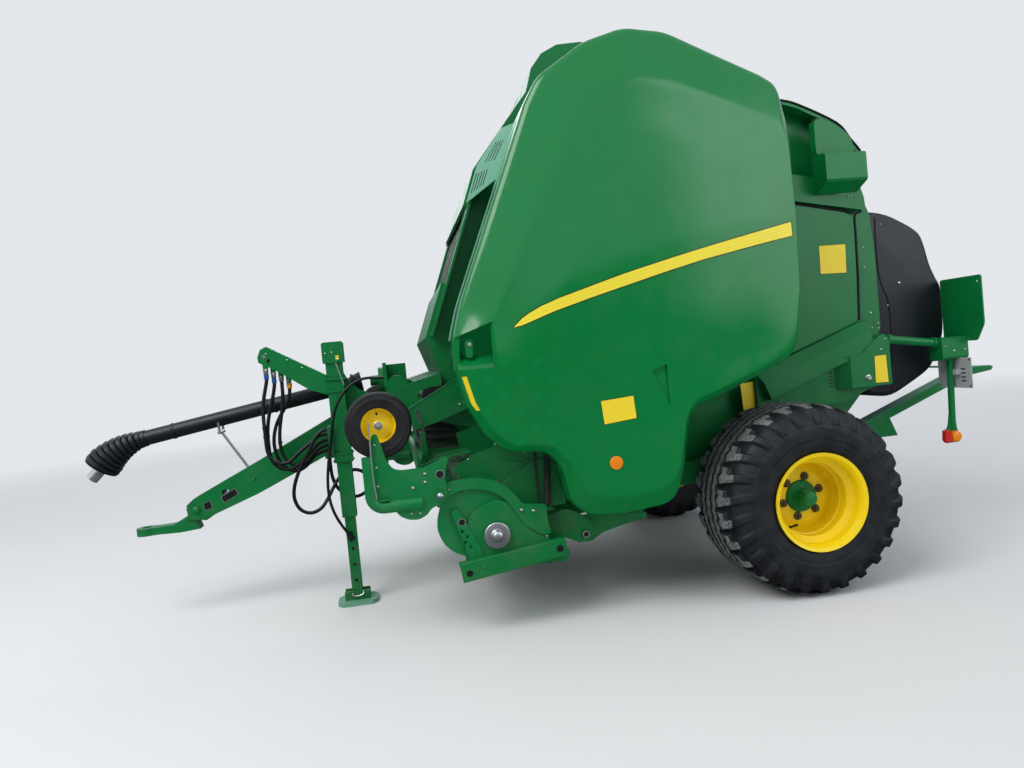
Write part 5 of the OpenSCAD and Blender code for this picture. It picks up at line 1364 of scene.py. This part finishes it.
# Floor and light: the skies list how high a direction points, 0.5 being level, and the colour there
BACKDROP = (0.78, 0.8, 0.83)
SKY = [(0.42, (0.22, 0.22, 0.2)), (0.56, (0.36, 0.38, 0.41)), (0.95, (0.9, 0.94, 1.0))]
SKY_STRENGTH = 0.62
MIRRORED_SKY = [(0.545, (0.09, 0.1, 0.11)), (0.59, (0.72, 0.77, 0.86))]
FLOOR_HALF = 40
FADE_FROM, FADE_TO = 5.0, 15.0


def make_floor():
    """A pale floor, which runs into the backdrop far off and is dark in what mirrors see."""
    mesh = bpy.data.meshes.new("studio_floor")
    h = FLOOR_HALF
    mesh.from_pydata([(-h, -h, 0), (h, -h, 0), (h, h, 0), (-h, h, 0)], [], [(0, 1, 2, 3)])
    floor = link_object("studio_floor", mesh)
    n = Nodes("studio_floor")
    rays = n.node("ShaderNodeLightPath").outputs
    pale = n.mix((0.8, 0.81, 0.82), (0.84, 0.85, 0.86), n.noise(1.5, 5))
    n.finish(n.mix(pale, (0.07, 0.075, 0.08), rays["Is Glossy Ray"]), 0.85, specular=0.1)
    reach = n.node("ShaderNodeVectorMath")
    reach.operation = "LENGTH"
    n.link(n.place, reach.inputs[0])
    far = n.node("ShaderNodeMapRange", Value=reach.outputs["Value"], From_Min=FADE_FROM, From_Max=FADE_TO)
    seen = n.maths("MULTIPLY", far.outputs[0], rays["Is Camera Ray"])
    surface = n.blend(seen, n.bsdf, n.node("ShaderNodeEmission", Color=BACKDROP))
    n.link(surface.outputs[0], n.tree.nodes["Material Output"].inputs["Surface"])
    dress(floor, n.mat)


def make_world():
    """Overcast light, paler overhead; paint and glass mirror a bright sky over a dark horizon."""
    scene.world = bpy.data.worlds.new("studio")
    n = Nodes("studio", scene.world)
    view = n.node("ShaderNodeTexCoord").outputs["Generated"]
    up = n.node("ShaderNodeSeparateXYZ", Vector=view).outputs["Z"]
    half = n.maths("ADD", n.maths("MULTIPLY", up, 0.5), 0.5)
    sky = n.node("ShaderNodeBackground", Color=n.ramp(half, SKY), Strength=SKY_STRENGTH)
    mirror = n.node("ShaderNodeBackground", Color=n.ramp(half, MIRRORED_SKY), Strength=1.0)
    plain = n.node("ShaderNodeBackground", Color=BACKDROP, Strength=1.0)
    rays = n.node("ShaderNodeLightPath").outputs
    shown = n.blend(rays["Is Camera Ray"], n.blend(rays["Is Glossy Ray"], sky, mirror), plain)
    n.link(shown.outputs[0], n.tree.nodes["World Output"].inputs["Surface"])


def area_light(name, place, aim, size, power, colour=(1, 1, 1)):
    """A square lamp that faces the point aim; metres and watts."""
    data = bpy.data.lights.new(name, "AREA")
    data.size = size
    data.energy = power
    data.color = colour
    lamp = link_object(name, data)
    lamp.location = place
    lamp.rotation_euler = (Vector(aim) - Vector(place)).to_track_quat("-Z", "Y").to_euler()


make_floor()
make_world()
area_light("key", (-6, -5, 8.5), (0, 0, 1), 6, 640, (1, 0.99, 0.96))
area_light("fill", (6, -7, 4), (0, 0, 1), 6, 210, (0.94, 0.97, 1))
area_light("back", (1, 8, 6), (0, 0, 1.2), 6, 200)


# Closing
def write_size():
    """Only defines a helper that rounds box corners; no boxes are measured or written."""
    def plain(bounds):
        return [[round(c, 5) for c in corner] for corner in bounds]


write_size()
